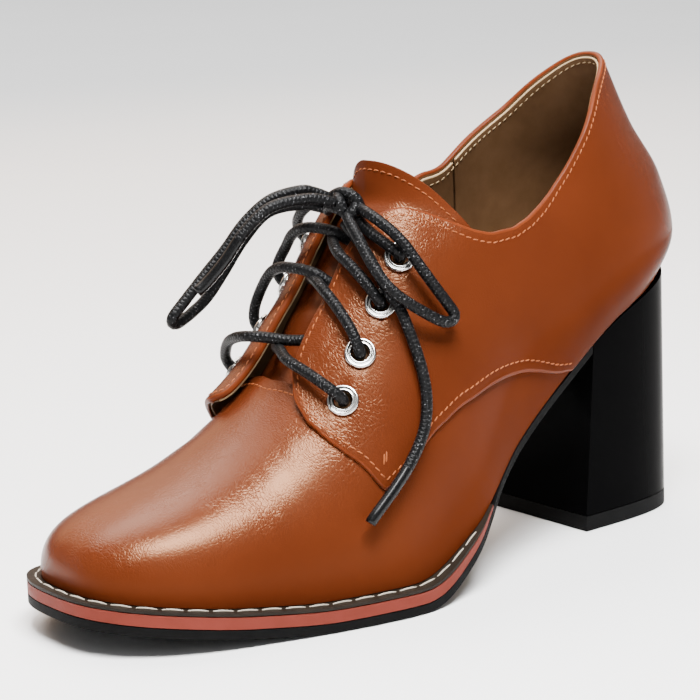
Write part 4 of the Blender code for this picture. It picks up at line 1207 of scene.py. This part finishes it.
def make_heel():
    count = HEEL_PLACES
    foot, seat = heel_outline(HEEL_FOOT, count), heel_outline(HEEL_SEAT, count)
    low = np.column_stack((foot.reshape(-1, 2), np.full(2 * count + 2, TOP_PIECE_THICK + GAP)))
    seat_flat = seat.reshape(-1, 2)
    high = np.column_stack((seat_flat, feather(seat_flat[:, 0]) - GAP))
    points, faces, _ = thicken(high, low, grid_faces(count + 1, 2))
    made = bevelled(mesh_object("heel_block", points, faces, HEEL, None, 40), HEEL_BEVEL, 3, 40)
    add_piece(made, "heel", "heel")
    made = plate("heel_lift", foot, lambda x: np.full(np.shape(x), TOP_PIECE_THICK),
                 lambda x: np.zeros(np.shape(x)), TOP_PIECE, LIFT_BEVEL)
    add_piece(made, "top_piece", "heel_top_piece")


# Lace: strands through the eyelets as (x, across, height), where across runs from -1 at the outer
# feather line over 0 at the ridge to 1, and the bow as points in the last's own frame
LACE_RADIUS = 1.65
CROSSINGS = (
    (
        (
            (-33.9, -0.380, 1.4), (-34.0, -0.378, 4.6), (-35.0, -0.320, 6.6), (-36.0, -0.220, 6.8),
            (-36.2, -0.110, 6.9), (-34.6, -0.020, 4.6), (-33.4, 0.070, 1.4), (-31.6, 0.120, -0.3),
        ),
        (
            (-33.9, 0.380, 1.4), (-33.9, 0.378, 5.2), (-34.0, 0.340, 8.6), (-33.9, 0.260, 10.6),
            (-34.2, 0.180, 11.0), (-34.2, 0.110, 10.4), (-33.4, 0.040, 7.4), (-32.6, -0.010, 4.2),
            (-31.8, -0.040, 2.2), (-31.0, -0.075, 1.0), (-30.4, -0.110, 0.3), (-29.8, -0.140, -0.1),
        ),
    ),
    (
        (
            (-25.6, -0.340, 1.4), (-25.6, -0.338, 4.6), (-24.6, -0.280, 6.6), (-23.2, -0.190, 6.8),
            (-21.8, -0.100, 6.9), (-20.6, -0.015, 4.6), (-19.6, 0.070, 1.6), (-19.2, 0.110, 0.8),
        ),
        (
            (-25.6, 0.340, 1.4), (-25.6, 0.338, 6.0), (-24.0, 0.310, 8.8), (-21.2, 0.260, 10.2),
            (-19.8, 0.190, 10.8), (-19.6, 0.120, 10.0), (-19.6, 0.050, 7.4), (-19.6, -0.015, 5.2),
            (-19.8, -0.040, 2.8), (-19.8, -0.070, 1.4), (-19.6, -0.100, 0.7), (-19.4, -0.130, 0.4),
        ),
    ),
    (
        (
            (-16.0, -0.325, 1.4), (-16.0, -0.323, 4.6), (-16.0, -0.270, 6.6), (-15.8, -0.190, 6.8),
            (-15.2, -0.100, 6.6), (-13.6, -0.015, 4.0), (-11.8, 0.060, 1.4), (-11.0, 0.100, 0.8),
        ),
        (
            (-16.0, 0.325, 1.4), (-16.0, 0.323, 6.0), (-15.0, 0.300, 8.8), (-13.2, 0.250, 9.2),
            (-12.6, 0.180, 9.8), (-12.4, 0.110, 9.0), (-12.2, 0.050, 6.4), (-12.2, -0.015, 4.2),
            (-12.4, -0.040, 2.6), (-12.4, -0.070, 1.4), (-12.2, -0.110, 0.6), (-12.0, -0.150, 0.3),
        ),
    ),
    (
        (
            (-7.7, -0.320, 1.4), (-7.7, -0.318, 4.6), (-8.8, -0.260, 5.8), (-9.4, -0.190, 5.9),
            (-9.0, -0.120, 5.2), (-7.4, -0.050, 1.6), (-6.8, 0.010, 1.0),
        ),
        (
            (-7.7, 0.320, 1.4), (-7.7, 0.318, 6.2), (-8.0, 0.270, 9.2), (-8.2, 0.190, 9.8),
            (-7.6, 0.110, 8.4), (-6.8, 0.040, 3.0), (-6.6, -0.010, 1.0),
        ),
    ),
)
LOOP_LATERAL = (
    (-13.3, -7.0, 110.6), (-14.2, -12.2, 109.6), (-13.4, -16.8, 107.4), (-12.1, -20.8, 104.6),
    (-10.7, -24.2, 101.1), (-9.2, -26.8, 97.0), (-5.9, -31.5, 89.0), (-3.2, -33.7, 84.0),
    (-1.9, -34.6, 81.2), (-3.2, -34.7, 79.5), (-6.2, -34.3, 79.8), (-10.9, -32.8, 82.6),
    (-16.6, -29.6, 87.1), (-19.0, -26.8, 90.3), (-19.8, -23.4, 93.5), (-19.9, -18.9, 97.9),
    (-19.2, -13.6, 103.2), (-18.2, -8.8, 107.0), (-17.4, -6.4, 109.0),
)
LOOP_MEDIAL = (
    (-17.2, 2.0, 113.2), (-21.0, 3.6, 115.0), (-25.2, 5.0, 115.9), (-33.1, 9.0, 113.8),
    (-40.2, 12.0, 107.9), (-46.3, 14.0, 100.4), (-52.3, 16.0, 93.7), (-58.8, 17.0, 87.2),
    (-63.3, 17.6, 82.4), (-60.6, 18.8, 80.4), (-50.6, 19.4, 85.4), (-44.5, 18.0, 92.8),
    (-38.3, 16.0, 101.8), (-31.1, 13.0, 109.4), (-22.6, 8.0, 111.2), (-16.6, 4.6, 109.8),
)
END_LATERAL = (
    (-16.3, -4.0, 106.2), (-16.4, -6.8, 104.3), (-16.4, -11.2, 100.8), (-16.9, -17.4, 95.3),
    (-17.2, -22.0, 90.7), (-17.0, -24.8, 87.5), (-15.8, -27.4, 83.6), (-14.9, -31.1, 75.4),
    (-14.5, -34.5, 67.0), (-15.3, -37.1, 58.9), (-18.2, -38.9, 51.0), (-23.9, -40.0, 43.5),
    (-30.9, -40.6, 36.9), (-38.2, -40.6, 30.6), (-40.0, -40.4, 28.6),
)
END_MEDIAL = (
    (-18.8, -2.6, 112.2), (-22.8, -1.6, 113.6), (-28.2, 0.0, 114.2), (-37.8, 3.0, 112.6),
    (-44.7, 6.0, 106.5), (-50.8, 8.0, 98.5), (-55.6, 10.0, 93.0), (-58.9, 11.0, 90.3),
)
LACE_STEP, LACE_SIDES = 0.9, 14
LACE_TIP_LENGTH = 20.0


def lace_tube(name, route, tip=0.0):
    """A length of lace, its last part dipped to a smooth tip."""
    points = smooth_route(route, LACE_STEP)
    made = tube(name, points, LACE_RADIUS, LACE_SIDES, (LACE, LACE_TIP))
    dipped = (len(points) - round(tip / LACE_STEP)) * LACE_SIDES
    for polygon in made.data.polygons:
        polygon.material_index = int(min(polygon.vertices) >= dipped)
    return made


def join(target, *others):
    """Join meshes into the first one."""
    work = bmesh.new()
    work.from_mesh(target.data)
    for other in others:
        work.from_mesh(other.data)
        bpy.data.objects.remove(other)
    work.to_mesh(target.data)
    work.free()
    return target


def make_lace():
    for number, strands in enumerate(CROSSINGS, 1):
        tubes = []
        for word, rows in zip(("lateral", "medial"), strands):
            x, across, height = np.array(rows, float).T
            route = off_last(x, np.sign(across), 1 - np.abs(across), height)
            tubes.append(lace_tube(f"strands_{number}_{word}", route))
        crossing = join(*tubes)
        crossing.name = f"lace_strands_{number}"
        add_piece(crossing, "lace", f"lace_crossing_{number}")
    for name, route, far_end, tip in (
        ("lace_loop_lateral", LOOP_LATERAL, "knot", 0.0),
        ("lace_loop_medial", LOOP_MEDIAL, "knot", 0.0),
        ("lace_end_lateral", END_LATERAL, "bare", LACE_TIP_LENGTH),
        ("lace_end_medial", END_MEDIAL, "bare", LACE_TIP_LENGTH),
    ):
        made = lace_tube(name.replace("lace_", "bow_"), route, tip)
        add_piece(made, "lace", name)
        path = to_metres(smooth_route(route, LACE_STEP))


KNOT_WRAPS = (
    (
        (-12.2, -6.6, 110.2), (-13.6, -5.6, 113.6), (-15.6, -2.4, 115.0),
        (-16.6, 1.2, 113.4), (-16.2, 2.6, 110.6),
    ),
    (
        (-17.6, -5.0, 109.6), (-17.8, -3.8, 112.6), (-16.0, -0.8, 114.0),
        (-13.6, 1.4, 113.4), (-12.6, 2.2, 110.8),
    ),
    (
        (-16.6, -5.6, 107.8), (-14.6, -6.6, 110.2), (-12.4, -4.6, 112.4),
        (-11.8, -1.0, 112.4), (-12.6, 2.0, 110.0),
    ),
    (
        (-17.2, 2.6, 109.4), (-18.6, -0.4, 110.8), (-18.0, -3.8, 110.4),
        (-16.0, -5.8, 108.8),
    ),
)


def make_knot():
    wraps = [lace_tube(f"knot_wrap_{k}", route) for k, route in enumerate(KNOT_WRAPS)]
    knot = join(*wraps)
    knot.name = "bow_knot"
    add_piece(knot, "lace", "lace_knot")


# Floor, light and camera

CAMERA_AZIMUTH, CAMERA_ELEVATION, CAMERA_ROLL = -38.64, 12.29, -2.0
CAMERA_DISTANCE, CAMERA_TARGET = 699.6, (0.49, 16.62, 62.86)
PHOTO_SIZE, PHOTO_FOCAL = 700.0, 2300.0
SENSOR = 36.0


def make_camera():
    azimuth, elevation, roll = (math.radians(v) for v in (CAMERA_AZIMUTH, CAMERA_ELEVATION, CAMERA_ROLL))
    back = Vector((math.sin(azimuth) * math.cos(elevation), -math.cos(azimuth) * math.cos(elevation),
                   math.sin(elevation)))
    right = Vector((math.cos(azimuth), math.sin(azimuth), 0.0))
    up = back.cross(right)
    turned_right = right * math.cos(roll) + up * math.sin(roll)
    turned_up = up * math.cos(roll) - right * math.sin(roll)
    turn = Matrix((turned_right, turned_up, back)).transposed().to_4x4()
    target = Vector(to_metres(CAMERA_TARGET))
    lens = bpy.data.cameras.new("photo_camera")
    lens.sensor_width = SENSOR
    lens.lens = SENSOR * PHOTO_FOCAL / PHOTO_SIZE
    lens.clip_start = 0.01
    camera = bpy.data.objects.new("photo_camera", lens)
    camera.matrix_world = Matrix.Translation(target + back * CAMERA_DISTANCE * MM) @ turn
    bpy.context.scene.collection.objects.link(camera)
    bpy.context.scene.camera = camera


# Half the floor's width and its height, in metres
FLOOR_HALF, FLOOR_Z = 6.0, -0.0002


def make_floor():
    made, tree, shader = new_material("floor")
    place = tree.nodes.new("ShaderNodeTexCoord").outputs["Object"]
    tone = ramp(tree, noise(tree, place, 3.0), ((0.3, (0.86, 0.86, 0.86)), (0.7, (0.88, 0.88, 0.88))))
    tree.links.new(tone, shader.inputs["Base Color"])
    shader.inputs["Roughness"].default_value = 0.6
    mesh = bpy.data.meshes.new("floor")
    corners = [(x * FLOOR_HALF, y * FLOOR_HALF, 0) for x, y in ((-1, -1), (1, -1), (1, 1), (-1, 1))]
    mesh.from_pydata(corners, [], [(0, 1, 2, 3)])
    mesh.materials.append(made)
    floor = bpy.data.objects.new("floor", mesh)
    floor.location.z = FLOOR_Z
    bpy.context.scene.collection.objects.link(floor)


# Lights: name, place and aim in metres, size, power in watts, colour
WHITE, WARM = (1.0, 1.0, 1.0), (1.0, 0.62, 0.36)
LIGHTS = (
    ("overhead_key", (-0.17, -0.36, 1.05), (-0.03, 0.0, 0.06), (0.60, 0.46), 60.0, WHITE),
    ("back_panel", (0.18, 0.85, 0.80), (-0.03, 0.0, 0.05), (1.5, 1.0), 10.0, WARM),
    ("floor_wash", (0.6, 2.2, 3.4), (0.6, 2.0, 0.0), (4.0, 2.6), 230.0, WHITE),
    ("front_fill", (-0.55, -1.30, 0.75), (0.0, 0.0, 0.06), (0.9, 0.9), 2.0, WHITE),
)
WORLD_STRENGTH = 0.25


def make_lights():
    world = bpy.data.worlds.new("studio")
    world.use_nodes = True
    world.node_tree.nodes["Background"].inputs["Color"].default_value = (1.0, 1.0, 1.0, 1.0)
    world.node_tree.nodes["Background"].inputs["Strength"].default_value = WORLD_STRENGTH
    bpy.context.scene.world = world
    for name, place, aim, size, power, colour in LIGHTS:
        lamp = bpy.data.lights.new(name, "AREA")
        lamp.shape = "RECTANGLE"
        lamp.size, lamp.size_y = size
        lamp.energy = power
        lamp.color = colour
        made = bpy.data.objects.new(name, lamp)
        made.location = place
        made.rotation_euler = (Vector(aim) - Vector(place)).to_track_quat("-Z", "Y").to_euler()
        bpy.context.scene.collection.objects.link(made)


make_camera()
make_lace()
make_knot()
make_vamp()
make_quarter()
make_lining()
make_upper_stitches()
make_throat_stitches()
make_eyelets()
make_tongue()
make_sole()
make_insole()
make_heel()
make_floor()
make_lights()
